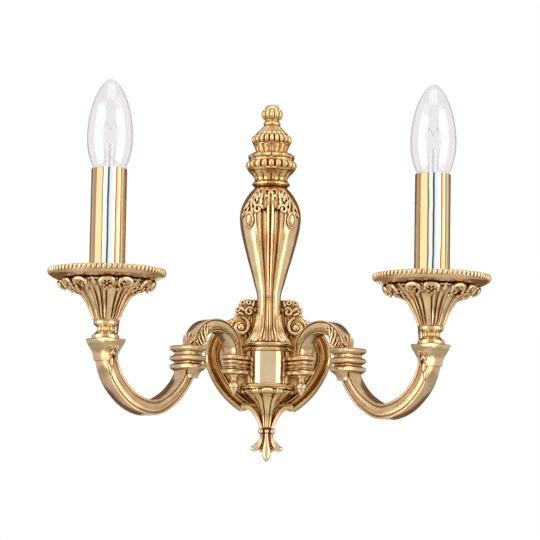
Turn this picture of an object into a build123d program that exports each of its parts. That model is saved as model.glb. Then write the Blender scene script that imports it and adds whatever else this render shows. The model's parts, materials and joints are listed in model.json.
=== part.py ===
from build123d import *
import math
import os

# Double arm wall sconce in cast and polished brass, with two candle lamps.
# Frame: millimetres, +Z up, the wall is the plane Y = 0 and the object stands towards -Y.
# The origin lies on the wall, at the centre of the wall bracket's slots.

# ---------------------------------------------------------------- driving dimensions
# Backplate, a cast cartouche
PLATE_DEPTH = 16.0  # wall to the front of the flat field
PLATE_WALL = 2.5
PLATE_HALF_WIDTH = 49.1
PLATE_WIDEST_Z = 5.7
PLATE_TOP_Z = 40.5
PLATE_CUSP_X = 21.2
PLATE_CUSP_Z = -32.6
TAIL_TIP_Z = -72.7
TAIL_RING_Z = -48.5
TAIL_THICKNESS = 8.0
BORDER_WIDTH = 5.5
BORDER_RISE = 5.0
RIDGE_INSET = 9.5
RIDGE_WIDTH = 2.2
RIDGE_RISE = 2.2
TONGUE_TOP_Z = 55.0
TONGUE_THICKNESS = 5.0
VOLUTE_X = 21.8
VOLUTE_Z = 32.6
VOLUTE_RADIUS = 7.6
CABLE_HOLE_RADIUS = 4.0
CABLE_HOLE_Z = 8.4

# Column: drum, mouldings, vase and finial on one upright axis
COLUMN_FORWARD = 8.0  # column axis in front of the field
DRUM_RADIUS = 15.6
DRUM_WALL = 1.6
DRUM_HALF_HEIGHT = 12.6
CAP_HEIGHT = 7.1
CAP_HALF_WIDTH = 20.8
CORBEL_HALF_WIDTH = 21.4
CORBEL_BOTTOM_Z = -45.5
VASE_RADIUS = 23.9
VASE_WAIST_RADIUS = 9.1
VASE_WAIST_Z = 54.4
VASE_BELLY_Z = 117.5
VASE_TOP_Z = 141.6
FINIAL_HEIGHT = 66.0
FINIAL_RING_RADIUS = 20.0
CASTING_WALL = 3.0
ROD_RADIUS = 3.0

# Arms, in upright planes at an angle to the wall
ARM_ANGLE = 45.0
ARM_ROOT_X = 26.0  # axis of the inner collar and its pendant
ARM_ROOT_FORWARD = 22.5  # the same axis in front of the field
ARM_REACH = 134.4  # from that axis to the axis of the candle cup
ARM_WIDTH = 12.0
HUMP_TOP = 29.6
HUMP_FOOT_Z = 9.0
HUMP_FOOT_U = 1.1
COLLAR_U = 49.2  # axis of the outer collar
COLLAR_BOTTOM_Z = -5.5
COLLAR_TOP_Z = 12.0
COLLAR_LENGTH = 18.5
COLLAR_WIDTH = 21.0
BOW_BOTTOM = -38.7
BLOCK_TOP_Z = 10.0
BLOCK_SIZE = 20.5
BAR_TOP_Z = 8.7
BAR_BOTTOM_Z = -6.3
BAR_LENGTH = 10.75  # outer end of the inner collar from its axis
PANEL_DEPTH = 0.8  # sunk panel along each side of the arm
WIREWAY_WIDTH = 4.6
PENDANT_LENGTH = 16.3
PENDANT_STUD = 1.5
BAR_HALF_V = 4.8  # half the bars' width across the arm
BAR_ROOT_U = -22.0  # inner end of the bars, inside the drum
LUG_X = 7.3  # lug that draws the arm against the plate
LUG_WIDTH = 7.0
LUG_DEPTH = 11.0
LUG_SCREW_Z = -1.8
LUG_SCREW_RADIUS = 2.0
WIRE_EXIT_U = -21.0  # where the wire turns up inside the drum
WIRE_LEVEL = 1.2

# Candle cups
HUSK_HEIGHT = 41.2
HUSK_RIM_RADIUS = 34.5
PAN_RADIUS = 44.8
PAN_DEPTH = 8.1
PAN_THICKNESS = 1.3
SLEEVE_LENGTH = 85.0
SLEEVE_RADIUS = 13.4
SLEEVE_WALL = 0.9
THREAD_RADIUS = 5.0  # M10 x 1 lamp thread
THREAD_BORE = 3.2
NUT_HEIGHT = 3.5
NUT_ACROSS_FLATS = 14.0
HOLDER_SINK = 6.0  # top of the lampholder below the top of the sleeve
HOLDER_CUP_HEIGHT = 33.5
HOLDER_POST_RADIUS = 8.0
SHELL_RADIUS = 7.8
SHELL_WALL = 0.5
SHELL_HEIGHT = 22.0
BULB_RADIUS = 17.4
BULB_LENGTH = 100.0
BULB_CAP_LENGTH = 27.0
BULB_CAP_RADIUS = 6.9
FILAMENT_SIZE = 0.7
GLASS_WALL = 0.8
STEM_SINK = 3.4  # foot of the glass stem below the sleeve's mouth
LEAD_RADIUS = 1.3

# Wall bracket and terminals
BRACKET_WIDTH = 24.0
BRACKET_THICKNESS = 2.0
SLOT_SPACING = 54.0
SLOT_RADIUS = 2.25
SLOT_LENGTH = 12.0
EAR_WIDTH = 10.0
EAR_REACH = 12.0
SIDE_SCREW_RADIUS = 2.0
SIDE_SCREW_HEAD = 3.6
SIDE_SCREW_SINK = 0.8  # spot face in the plate's rim
SEAT_SCREW_RADIUS = 1.5
SEAT_SCREW_HEIGHTS = (-23.5, 45.0)
CABLE_ENTRY_RADIUS = 4.5
CABLE_ENTRY_Z = 6.0
BLOCK_TERMINAL = (24.0, 9.0, 10.0)  # width, depth and height of the terminal block

SIDES = 12  # sides of the small turned pieces inside the candles
GLASS_SIDES = 16
SCREW_SIDES = 8  # sides of screws and rods, and of the holes for them
WIDE_SIDES = 24  # sides of the wide turnings
CHORD_TURN = 0.42  # turn from chord to chord along curved outlines, in radians

# Clearances
FIT = 0.05  # a screw or tube in its hole
CLEAR = 0.3  # between pieces that slide apart
SLOT_FIT = 0.15  # the arm's bars in the drum's side slots

# ---------------------------------------------------------------- places worked out
FIELD_Y = -PLATE_DEPTH
COLUMN_Y = FIELD_Y - COLUMN_FORWARD
CAP_TOP_Z = DRUM_HALF_HEIGHT + CAP_HEIGHT
PAN_FLOOR_Z = BLOCK_TOP_Z + HUSK_HEIGHT + PAN_THICKNESS
SLEEVE_BORE = SLEEVE_RADIUS - SLEEVE_WALL
HOLDER_RADIUS = SLEEVE_BORE - CLEAR
SLEEVE_TOP_Z = PAN_FLOOR_Z + SLEEVE_LENGTH
HOLDER_BASE_Z = PAN_FLOOR_Z + NUT_HEIGHT
HOLDER_TOP_Z = SLEEVE_TOP_Z - HOLDER_SINK
SHELL_TOP_Z = HOLDER_TOP_Z - 3.5
BULB_BOTTOM_Z = SHELL_TOP_Z - SHELL_HEIGHT + 0.4
BULB_TOP_Z = BULB_BOTTOM_Z + BULB_LENGTH
BULB_CAP_TOP_Z = BULB_BOTTOM_Z + BULB_CAP_LENGTH - 2.0
TUBE_LOW_Z = BLOCK_TOP_Z - 8.0
TUBE_TOP_Z = HOLDER_BASE_Z + 8.0

os.makedirs("parts", exist_ok=True)


# ---------------------------------------------------------------- shared tools
def bulged_chords(here, there, bulge):
    """Points along an arc in the X-Z plane whose middle stands off its chord by the bulge."""
    dx = there[0] - here[0]
    dz = there[1] - here[1]
    half = math.hypot(dx, dz) / 2
    radius = (half * half + bulge * bulge) / (2 * abs(bulge))
    sweep = 2 * math.asin(min(1.0, half / radius))
    count = max(2, round(sweep / CHORD_TURN))
    points = []
    for i in range(1, count):
        turn = sweep * (i / count - 0.5)
        along = math.sin(turn) * radius / (2 * half) + 0.5
        off = radius * (math.cos(turn) - math.cos(sweep / 2)) * math.copysign(1, bulge) / (2 * half)
        points.append((here[0] + along * dx - off * dz, here[1] + along * dz + off * dx))
    return points


def outline(points):
    """A closed face in the X-Z plane. A third value in a point bulges the edge that leads to it."""
    path = []
    for here, there in zip(points[-1:] + points[:-1], points):
        if len(there) == 3:
            path += bulged_chords(here, there, there[2])
        path.append(there[:2])
    return polygon_face([(x, 0, z) for x, z in path])


def mirrored_outline(points):
    """A face made of the given right half and its mirror image. The half starts and ends at x = 0."""
    half = outline(points)
    return half + mirror(half, about=Plane.YZ)


def slab(face, near_y, far_y):
    """A face of the X-Z plane as a plate between two distances from the wall."""
    way = math.copysign(1, far_y - near_y)
    return Pos(0, near_y, 0) * extrude(face, amount=abs(far_y - near_y), dir=(0, way, 0))


def ring_points(count, radius, dip, height):
    """A lobed ring: points on the radius, and between them points drawn in by the dip."""
    points = []
    for i in range(2 * count):
        reach = radius if i % 2 == 0 else radius - dip
        angle = math.pi * i / count + math.pi / 2
        points.append((reach * math.cos(angle), reach * math.sin(angle), height))
    return points


def polygon_face(points):
    """A flat face through points in order."""
    return make_face(Polyline(*points, close=True))


def flat_faces(corners):
    """One flat face through four corners, or two where the corners don't lie in one plane."""
    a, b, c, d = [Vector(*corner) for corner in corners]
    normal = (b - a).cross(c - a)
    if normal.length < 1e-9 or abs(normal.normalized().dot(d - a)) < 1e-7:
        return [polygon_face(corners)]
    return [polygon_face(corners[:3]), polygon_face([corners[0]] + corners[2:])]


def faceted(sections):
    """A closed solid with flat facets through level sections of equally many points, from low to high."""
    faces = [polygon_face(sections[0]), polygon_face(sections[-1])]
    count = len(sections[0])
    for lower, upper in zip(sections, sections[1:]):
        for i in range(count):
            j = (i + 1) % count
            faces += flat_faces([lower[i], lower[j], upper[j], upper[i]])
    return Solid(Shell(faces))


def lobed_stack(count, rows):
    """A faceted stack through lobed rings. Each row is a radius, a dip and a height, from low to high."""
    return faceted([ring_points(count, r, dip, z) for r, dip, z in rows])


def round_stack(sides, rows):
    """A faceted turning through even polygons. Each row is a radius and a height, from low to high."""
    sections = []
    for radius, height in rows:
        turns = [2 * math.pi * (i + 0.5) / sides for i in range(sides)]
        sections.append([(radius * math.cos(t), radius * math.sin(t), height) for t in turns])
    return faceted(sections)


def peg(radius, low, high):
    """A small upright rod, or the hole for one."""
    return round_stack(SCREW_SIDES, [(radius, low), (radius, high)])


def hexagon(across_flats, height):
    """A hexagonal prism that stands on the X-Y plane."""
    return extrude(RegularPolygon(across_flats / 2, 6, major_radius=False), amount=height)


def column(shape):
    """Move a shape from the Z axis to the axis of the column."""
    return Pos(0, COLUMN_Y, 0) * shape


def straight_runs(spots, across, through, overlap):
    """Square bars from spot to spot in the X-Z plane, joined where they meet."""
    bars = None
    for here, there in zip(spots, spots[1:]):
        run = math.hypot(there[0] - here[0], there[1] - here[1])
        turn = math.degrees(math.atan2(there[0] - here[0], there[1] - here[1]))
        middle = Pos((here[0] + there[0]) / 2, 0, (here[1] + there[1]) / 2)
        bar = middle * Rot(0, turn, 0) * Box(across, through, run + overlap)
        bars = bar if bars is None else bars + bar
    return bars


def flat_back(shape):
    """Cut a casting of the column flat along the front of the backplate's field."""
    size = shape.bounding_box()
    deep = size.max.Y - FIELD_Y
    if deep <= 0:
        return shape
    height = size.max.Z - size.min.Z + 2
    width = size.max.X - size.min.X + 2
    middle = (size.max.Z + size.min.Z) / 2
    return shape - Pos(0, FIELD_Y + (deep + 2) / 2, middle) * Box(width, deep + 2, height)


def save(shape, name):
    """Write one node."""
    shape.label = name
    export_step(shape, f"parts/{name}.step")


# ---------------------------------------------------------------- backplate
def cartouche(inset):
    """The right half of the cartouche, drawn in from its edge by the inset."""
    wide = PLATE_HALF_WIDTH - inset
    top = PLATE_TOP_Z - inset
    low = PLATE_CUSP_Z + inset * 1.15
    return [
        (0, low + 2.0),
        (14.0, low + 2.0),
        (PLATE_CUSP_X - inset * 0.25, low),
        (wide, PLATE_WIDEST_Z, -(PLATE_HALF_WIDTH - PLATE_CUSP_X) * 0.155),
        (PLATE_CUSP_X + 2.3 - inset * 0.3, top, -8.6 + inset * 0.12),
        (0, top),
    ]


def tail_half():
    """The right half of the lower tail: scrolled shoulders, neck and three-petalled drop."""
    ring = TAIL_RING_Z
    tip = TAIL_TIP_Z
    return [
        (0, PLATE_CUSP_Z + 6.0),
        (19.5, PLATE_CUSP_Z + 6.0),
        (PLATE_CUSP_X, PLATE_CUSP_Z),
        (14.1, PLATE_CUSP_Z + 2.0, 1.0),
        (4.8, ring + 2.5, 3.2),
        (4.8, ring - 2.5),
        (12.8, tip + 11.5, 1.6),
        (5.0, tip + 8.9, -1.4),
        (0, tip, -1.2),
    ]


def make_backplate():
    """Dished cartouche with a raised border, an inner ridge, volutes, flowers and a tail."""
    body = slab(mirrored_outline(cartouche(0)), 0, FIELD_Y)
    hollow = slab(mirrored_outline(cartouche(PLATE_WALL + 0.5)), 1, FIELD_Y + PLATE_WALL)
    border = slab(mirrored_outline(cartouche(0)), FIELD_Y, FIELD_Y - BORDER_RISE * 0.6)
    lip = slab(mirrored_outline(cartouche(0.9)), FIELD_Y, FIELD_Y - BORDER_RISE)
    inside = slab(mirrored_outline(cartouche(BORDER_WIDTH)), FIELD_Y, FIELD_Y - BORDER_RISE - 1)
    ridge = slab(mirrored_outline(cartouche(RIDGE_INSET)), FIELD_Y, FIELD_Y - RIDGE_RISE)
    ridge -= slab(mirrored_outline(cartouche(RIDGE_INSET + RIDGE_WIDTH)), FIELD_Y, FIELD_Y - RIDGE_RISE - 1)
    tail = slab(mirrored_outline(tail_half()), FIELD_Y + TAIL_THICKNESS - 4.0, FIELD_Y - 4.0)
    tongue_foot = PLATE_TOP_Z - 5
    tongue = slab(
        mirrored_outline([(0, tongue_foot), (13, tongue_foot), (8.4, TONGUE_TOP_Z), (0, TONGUE_TOP_Z)]),
        FIELD_Y + TONGUE_THICKNESS,
        FIELD_Y,
    )
    plate = body + (border + lip - inside) + ridge + tail + tongue
    for side in (-1, 1):
        plate += volute(side)
        plate += flowers(side)
    plate += tail_relief()
    plate -= hollow
    plate -= column_seat()
    plate -= Pos(0, FIELD_Y, CABLE_HOLE_Z) * Rot(90, 0, 0) * peg(CABLE_HOLE_RADIUS, -6, 6)
    for side in (-1, 1):
        plate -= side_screw_hole(side)
        plate -= lug_screw_hole(side)
    plate -= seat_screw_holes()
    return plate


def column_seat():
    """The flat part of the field that the column's pieces stand on, cleared of border, ridge and tail."""
    low = CORBEL_BOTTOM_Z
    cap = CORBEL_HALF_WIDTH + CLEAR
    half = [(0, low - CLEAR)] + [(width + CLEAR, z) for width, front, z, dip in reversed(corbel_rows())]
    half[1] = (half[1][0], low - CLEAR)
    half += [(cap, -DRUM_HALF_HEIGHT - 8.0), (cap, CAP_TOP_Z + CLEAR)]
    half += [(1.06 * radius + CLEAR, z + CLEAR) for radius, z in vase_rows()[:4]]
    half += [(half[-1][0], TONGUE_TOP_Z + 1), (0, TONGUE_TOP_Z + 1)]
    return slab(mirrored_outline(half), FIELD_Y, FIELD_Y - 20)


def volute(side):
    """Rolled end of the border with its ball."""
    eye = VOLUTE_RADIUS - 2.4
    rise = BORDER_RISE + 1.0
    edge = [(VOLUTE_RADIUS, 0), (VOLUTE_RADIUS, rise - 0.9), (VOLUTE_RADIUS - 0.9, rise)]
    scroll = round_stack(SIDES, edge)
    scroll -= round_stack(SIDES, [(eye, 0.4), (eye, rise + 1)])
    ball = round_stack(8, [(3.4, 0), (3.4, 3.2), (2.4, 5.2), (0.8, 6.2)])
    return Pos(side * VOLUTE_X, FIELD_Y, VOLUTE_Z) * Rot(90, 0, 0) * (scroll + ball)


def flowers(side):
    """Rose, bud and leaves that stand above each volute."""
    edge = [(9.0, 38), (24.5, 39), (24.2, 46.5), (22.5, 53.5), (15.5, 52.0), (12.0, 54.0), (8.6, 50.0)]
    back = slab(outline([(side * x, z) for x, z in edge]), FIELD_Y + 3.0, FIELD_Y)
    rose = lobed_stack(6, [(4.6, 0.8, 0), (4.2, 0.7, 4.0), (2.2, 0.3, 5.4)])
    bud = lobed_stack(5, [(2.9, 0.5, 0), (2.6, 0.4, 3.2), (1.3, 0.2, 4.6)])
    leaf = lobed_stack(4, [(3.6, 1.4, 0), (3.0, 1.2, 2.6), (0.8, 0.2, 3.4)])
    for x, z, bloom in ((15.5, 44.4, rose), (21.2, 51.2, bud), (22.6, 45.4, leaf)):
        back += Pos(side * x, FIELD_Y, z) * Rot(90, 0, 0) * bloom
    return back


def tail_relief():
    """Raised centre petal, side petals' ridges and the three-bead ring of the tail."""
    front = FIELD_Y - 4.0
    foot = TAIL_RING_Z - 3
    petal = [(0, foot), (1.6, foot), (3.3, TAIL_TIP_Z + 9, 0.4), (0, TAIL_TIP_Z + 1, -0.8)]
    relief = slab(mirrored_outline(petal), front, front - 2.0)
    for offset in (-4.7, 0, 4.7):
        bead = round_stack(8, [(2.6, 0), (2.5, 2.6), (1.4, 4.2)])
        relief += Pos(offset, front - 0.4 + 2.0, TAIL_RING_Z) * Rot(90, 0, 0) * bead
    return relief


def side_screw_hole(side):
    """Hole through the plate's rim for a side screw."""
    seat = PLATE_HALF_WIDTH - SIDE_SCREW_SINK
    hole = peg(SIDE_SCREW_RADIUS + FIT, seat - 8, seat + 1) + peg(SIDE_SCREW_HEAD + CLEAR, seat, seat + 5)
    return side_screw_axis(side) * hole


def side_screw_axis(side):
    """Place of a side screw: its own Z axis runs outwards through the rim and the bracket's ear."""
    return Pos(0, -EAR_REACH + 4.0, PLATE_WIDEST_Z) * Rot(0, side * 90, 0)


def lug_screw_hole(side):
    """Hole through the field for the screw that draws an arm's lug to the plate."""
    return Pos(side * LUG_X, FIELD_Y, LUG_SCREW_Z) * Rot(90, 0, 0) * peg(LUG_SCREW_RADIUS + FIT, -6, 8)


def seat_screw_holes():
    """Holes for the screws that hold the corbel and the vase to the plate."""
    low, high = [seat_screw_hole(z) for z in SEAT_SCREW_HEIGHTS]
    return low + high


def seat_screw_hole(z):
    """One such hole, through the plate and into the casting in front of it."""
    return Pos(0, FIELD_Y, z) * Rot(90, 0, 0) * peg(SEAT_SCREW_RADIUS + FIT, -7, 3)


# ---------------------------------------------------------------- hub: drum, cap and corbel
def bowed_plan(half_width, front, z):
    """A plan at a height: flat against the plate, straight sides and a shallow bow in front."""
    side_y = COLUMN_Y - 1.5
    bow = 10
    points = [(half_width, FIELD_Y, z)]
    for i in range(bow + 1):
        angle = math.pi * i / bow
        bowed = side_y + (front - side_y) * math.sin(angle) ** 0.8
        points.append((half_width * math.cos(angle), bowed, z))
    points.append((-half_width, FIELD_Y, z))
    return points


def bowed_roll(half_width, front, low, high, bevel):
    """A moulding on the bowed plan with bevelled edges."""
    inner = (half_width - bevel, front + bevel)
    return faceted([
        bowed_plan(*inner, low),
        bowed_plan(half_width, front, low + bevel),
        bowed_plan(half_width, front, high - bevel),
        bowed_plan(*inner, high),
    ])


def rod_hole(low, high):
    """Hole for the column's rod."""
    return column(peg(ROD_RADIUS + FIT, low, high))


def make_hub_drum():
    """Polished drum, open at the back, with side slots for the arms' bars."""
    half = DRUM_HALF_HEIGHT
    bore = DRUM_RADIUS - DRUM_WALL
    drum = round_stack(WIDE_SIDES, [(DRUM_RADIUS, -half), (DRUM_RADIUS, half)])
    drum -= round_stack(WIDE_SIDES, [(bore, -half - 1), (bore, half + 1)])
    drum = flat_back(column(drum))
    for side in (-1, 1):
        drum -= arm_place(side, bar_block(SLOT_FIT, -24.0))
    return drum


def make_hub_cap():
    """Upper double moulding between drum and vase."""
    front = COLUMN_Y - DRUM_RADIUS
    low = DRUM_HALF_HEIGHT
    lower_roll = bowed_roll(CAP_HALF_WIDTH - 1.4, front - 1.6, low, low + 3.1, 0.8)
    fillet_band = bowed_roll(CAP_HALF_WIDTH - 2.2, front - 0.8, low + 3.1, low + 3.8, 0.1)
    upper_roll = bowed_roll(CAP_HALF_WIDTH, front - 2.8, low + 3.8, CAP_TOP_Z, 0.9)
    return lower_roll + fillet_band + upper_roll - rod_hole(low - 1, CAP_TOP_Z + 1)


def corbel_section(half_width, front, z, dip):
    """A fluted half-round section of the corbel: seven flutes along its front."""
    flutes = 7
    points = [(half_width, FIELD_Y, z)]
    back = FIELD_Y - 0.6
    for i in range(2 * flutes + 1):
        angle = math.pi * i / (2 * flutes)
        reach = 1 - (dip / half_width if i % 2 == 0 else 0)
        deep = (back - front) * reach
        points.append((half_width * reach * math.cos(angle), back - deep * math.sin(angle), z))
    points.append((-half_width, FIELD_Y, z))
    return points


def corbel_rows():
    """Half width, front, height and flute depth down the corbel, from its padded edge."""
    front = COLUMN_Y - DRUM_RADIUS
    top = -DRUM_HALF_HEIGHT
    return [
        (18.4, front + 0.5, top - 7.6, 1.2),
        (12.5, front + 6.5, top - 14.0, 1.0),
        (8.3, front + 12.0, top - 21.0, 0.8),
        (5.4, front + 16.0, CORBEL_BOTTOM_Z, 0.6),
    ]


def make_hub_corbel():
    """Lower moulding with padded edge and flutes that draw together towards the tail."""
    front = COLUMN_Y - DRUM_RADIUS
    top = -DRUM_HALF_HEIGHT
    shelf = bowed_roll(CORBEL_HALF_WIDTH, front - 3.4, top - 3.9, top, 0.9)
    pads = faceted([
        corbel_section(19.8, front - 1.0, top - 7.6, 1.4),
        corbel_section(20.5, front - 2.2, top - 6.3, 1.4),
        corbel_section(19.8, front - 1.2, top - 3.9, 1.4),
    ])
    flutes = faceted([corbel_section(*row) for row in reversed(corbel_rows())])
    corbel = shelf + pads + flutes
    corbel -= rod_hole(top - 7.0, top + 1)
    return corbel - seat_screw_hole(SEAT_SCREW_HEIGHTS[0])


# ---------------------------------------------------------------- vase and finial
def vase_rows():
    """Radius and height up the vase, from its foot to its neck."""
    belly = VASE_RADIUS
    waist = VASE_WAIST_RADIUS
    drop = VASE_BELLY_Z - VASE_WAIST_Z
    return [
        (waist + 9.0, CAP_TOP_Z),
        (waist + 3.6, VASE_WAIST_Z - 25.0),
        (waist + 0.9, VASE_WAIST_Z - 12.0),
        (waist, VASE_WAIST_Z),
        (belly * 0.49, VASE_BELLY_Z - drop * 0.83),
        (belly * 0.72, VASE_BELLY_Z - drop * 0.52),
        (belly * 0.905, VASE_BELLY_Z - drop * 0.26),
        (belly, VASE_BELLY_Z),
        (belly * 0.93, VASE_BELLY_Z + 9.5),
        (17.3, VASE_TOP_Z - 5.0),
        (12.6, VASE_TOP_Z),
    ]


def vase_section(radius, height):
    """A section of the vase: smooth panels, and in front two ribs between two dark flutes and two fillets."""
    side = [(angle, 0.0) for angle in (165, 138, 112, 88, 66, 46, 30)]
    ribs = [(27, 0.06), (19, 0.06), (17, -0.02), (11, -0.02), (9, 0.05), (1.5, 0.05), (0, -0.02)]
    half = side + ribs
    turns = half + [(-angle, rise) for angle, rise in reversed(half[:-1])]
    points = []
    for angle, rise in turns:
        reach = radius * (1 + rise)
        points.append((reach * math.sin(math.radians(angle)), -reach * math.cos(math.radians(angle)), height))
    return points


def make_baluster():
    """Vase-shaped column with front ribs, shoulder leaves and drops, hollow and open at the back."""
    rows = vase_rows()
    vase = faceted([vase_section(r, z) for r, z in rows])
    for side in (-1, 1):
        vase += shoulder_leaf(side)
        vase += egg_drop(side)
    vase = flat_back(column(vase))
    wall = CASTING_WALL
    inner = [(r - wall, z) for r, z in rows[4:9]]
    hollow = round_stack(12, inner + [(11.0, VASE_TOP_Z - 2 * wall)])
    vase -= column(hollow)
    vase -= rod_hole(CAP_TOP_Z - 1, VASE_TOP_Z + 1)
    return vase - seat_screw_hole(SEAT_SCREW_HEIGHTS[1])


def on_vase(angle, height, reach, shape):
    """Stand a shape outwards on the vase at an angle from the front."""
    return Rot(0, 0, angle) * Pos(0, -reach, height) * Rot(90, 0, 0) * shape


def leaf_section(low_half, middle_half, high_half, low, high, rise):
    """A six-sided section of a leaf at a rise: half widths at its foot, middle and tip."""
    right = [(low_half, low), (middle_half, 0), (high_half, high)]
    left = [(-x, y) for x, y in reversed(right)]
    return [(x, y, rise) for x, y in right + left]


def shoulder_leaf(side):
    """A curled acanthus lobe on the shoulder."""
    lobe = faceted([
        leaf_section(3.6, 4.6, 2.6, -9.0, 8.0, 0),
        leaf_section(1.8, 2.4, 1.2, -7.0, 5.0, 2.6),
    ])
    return on_vase(side * 38.0, VASE_BELLY_Z + 9.0, VASE_RADIUS - 2.6, Rot(-14, 0, 0) * lobe)


def egg_drop(side):
    """An oval drop under the leaf."""
    egg = Pos(0, 0, -1.4) * round_stack(10, [(4.0, 0), (3.6, 2.2), (1.8, 3.6)])
    return on_vase(side * 43.0, VASE_BELLY_Z - 3.6, VASE_RADIUS - 0.6, scale(egg, (1.0, 1.5, 1.0)))


def make_crown_finial():
    """Stacked finial: fluted necks, padded and beaded rings, cone, lobed bud and dome."""
    big = FINIAL_RING_RADIUS
    base = VASE_TOP_Z
    top = FINIAL_HEIGHT
    tiers = [
        (16, 0.0, [(12.6, 0.0), (14.8, 1.9), (14.6, 3.2), (12.9, 5.0)]),
        (12, 1.1, [(13.4, 5.0), (13.4, 7.5), (18.4, 14.0)]),
        (20, 1.2, [(18.8, 14.0), (big, 17.3), (18.6, 20.6)]),
        (12, 0.8, [(17.8, 20.6), (18.3, 24.0), (15.6, 27.0)]),
        (12, 0.9, [(12.9, 27.0), (12.6, 29.5), (14.2, 34.6)]),
        (22, 0.9, [(14.4, 34.6), (15.9, 37.6), (13.9, 41.2)]),
        (16, 0.0, [(13.2, 41.2), (7.4, 47.8), (5.9, 48.8)]),
        (12, 0.0, [(5.9, 48.8), (6.4, 50.6), (5.4, 52.2), (5.4, 53.4)]),
        (12, 0.7, [(6.2, 53.4), (8.1, 57.0), (7.9, 59.6), (5.9, 62.0)]),
        (12, 0.0, [(5.6, 62.0), (4.9, top - 1.8), (2.8, top - 0.5), (0.9, top)]),
    ]
    solids = []
    for count, dip, rows in tiers:
        if dip > 0:
            solids.append(lobed_stack(count, [(r, dip, base + z) for r, z in rows]))
        else:
            solids.append(round_stack(count, [(r, base + z) for r, z in rows]))
    finial = solids[0].fuse(*solids[1:])
    finial = flat_back(column(finial))
    return finial - rod_hole(base - 1, base + 12.0)


# ---------------------------------------------------------------- arms
def arm_place(side, shape):
    """Place a shape of the right arm's own frame, and mirror it for the left arm."""
    placed = Pos(ARM_ROOT_X, FIELD_Y - ARM_ROOT_FORWARD, 0) * Rot(0, 0, -ARM_ANGLE) * shape
    return placed if side > 0 else mirror(placed, about=Plane.YZ)


def cup_place(side, shape):
    """Place a shape from the Z axis on the axis of a candle cup."""
    angle = math.radians(ARM_ANGLE)
    x = ARM_ROOT_X + ARM_REACH * math.cos(angle)
    y = FIELD_Y - ARM_ROOT_FORWARD - ARM_REACH * math.sin(angle)
    return Pos(side * x, y, 0) * shape


def hump_stations():
    """Centre points and depths of the arch, from the inner collar over to the outer collar."""
    foot_out = COLLAR_U - 4.7
    centre = (HUMP_FOOT_U + foot_out) / 2
    half = (foot_out - HUMP_FOOT_U) / 2
    rise = HUMP_TOP - HUMP_FOOT_Z
    stations = [(HUMP_FOOT_U, BAR_TOP_Z - 2.0, 6.8)]
    steps = 8
    for step in range(steps + 1):
        angle = math.pi * (1 - step / steps)
        along = step / steps
        depth = 6.8 + 2.9 * math.sin(min(math.pi / 2, math.pi * along)) + 5.0 * max(0.0, along - 0.5)
        height = HUMP_FOOT_Z + 1.2 + (rise - 1.2) * math.sin(angle)
        stations.append((centre + half * math.cos(angle), height, depth))
    stations.append((foot_out + 0.6, COLLAR_TOP_Z - 4.0, 14.0))
    return stations


def bow_stations():
    """Centre points and depths of the U-shaped lower arm, from the outer collar to the top block."""
    span = ARM_REACH - COLLAR_U
    shape = (
        (0.012, -0.075, 10.4),
        (0.05, -0.30, 10.2),
        (0.125, -0.545, 10.2),
        (0.26, -0.81, 10.8),
        (0.46, -0.995, 11.4),
        (0.70, -0.885, 11.6),
        (0.885, -0.565, 11.9),
        (0.972, -0.225, 12.2),
        (0.99, 0.05, 12.4),
    )
    return smoothed([(COLLAR_U + span * along, -BOW_BOTTOM * down, depth) for along, down, depth in shape])


def smoothed(stations):
    """Stations with one more between each two, on a smooth curve through its four neighbours."""
    last = len(stations) - 1
    path = []
    for i in range(last):
        before, here, there, after = [stations[max(0, min(last, i + j))] for j in (-1, 0, 1, 2)]
        path.append(here)
        path.append(tuple((9 * (b + c) - a - d) / 16 for a, b, c, d in zip(before, here, there, after)))
    return path + [stations[last]]


def band(stations, low, high):
    """A face that follows the stations, between two shares of the depth to the left of the way."""
    first = []
    second = []
    for i, (u, z, depth) in enumerate(stations):
        before = stations[max(i - 1, 0)]
        after = stations[min(i + 1, len(stations) - 1)]
        along = math.hypot(after[0] - before[0], after[1] - before[1])
        normal_u = -(after[1] - before[1]) / along
        normal_z = (after[0] - before[0]) / along
        first.append((u + low * depth * normal_u, 0, z + low * depth * normal_z))
        second.append((u + high * depth * normal_u, 0, z + high * depth * normal_z))
    return polygon_face(first + second[::-1])


def moulded_band(stations):
    """A bar along the stations with a sunk panel along each side."""
    bar = extrude(band(stations, -0.5, 0.5), amount=ARM_WIDTH / 2, both=True)
    panel = extrude(band(stations, -0.27, 0.27), amount=ARM_WIDTH, both=True)
    panel -= Box(1000, ARM_WIDTH - 2 * PANEL_DEPTH, 1000)
    return bar - panel


def mitred(half_u, half_v, profile):
    """A rectangular block whose four sides share one moulding profile of projection and height."""
    def prism(half):
        points = [(0, profile[0][1])]
        points += [(half + step[0],) + tuple(step[1:]) for step in profile]
        points.append((0, profile[-1][1]))
        return mirrored_outline(points)

    long_way = extrude(prism(half_u), amount=half_v + 6, both=True)
    cross_way = Rot(0, 0, 90) * extrude(prism(half_v), amount=half_u + 6, both=True)
    return long_way & cross_way


def rectangle_at(centre_u, z, size_u, size_v):
    """A level rectangle for the arm's flares."""
    return Pos(centre_u, 0, z) * Rectangle(size_u, size_v)


def bar_block(grow, inner_end):
    """Plain outer block of the inner collar's bars, grown for the drum's slots."""
    low = BAR_BOTTOM_Z - grow
    high = BAR_TOP_Z + grow
    length = BAR_LENGTH - inner_end
    block = Box(length, 2 * (BAR_HALF_V + 1.2 + grow), high - low)
    return Pos((BAR_LENGTH + inner_end) / 2, 0, (low + high) / 2) * block


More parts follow.
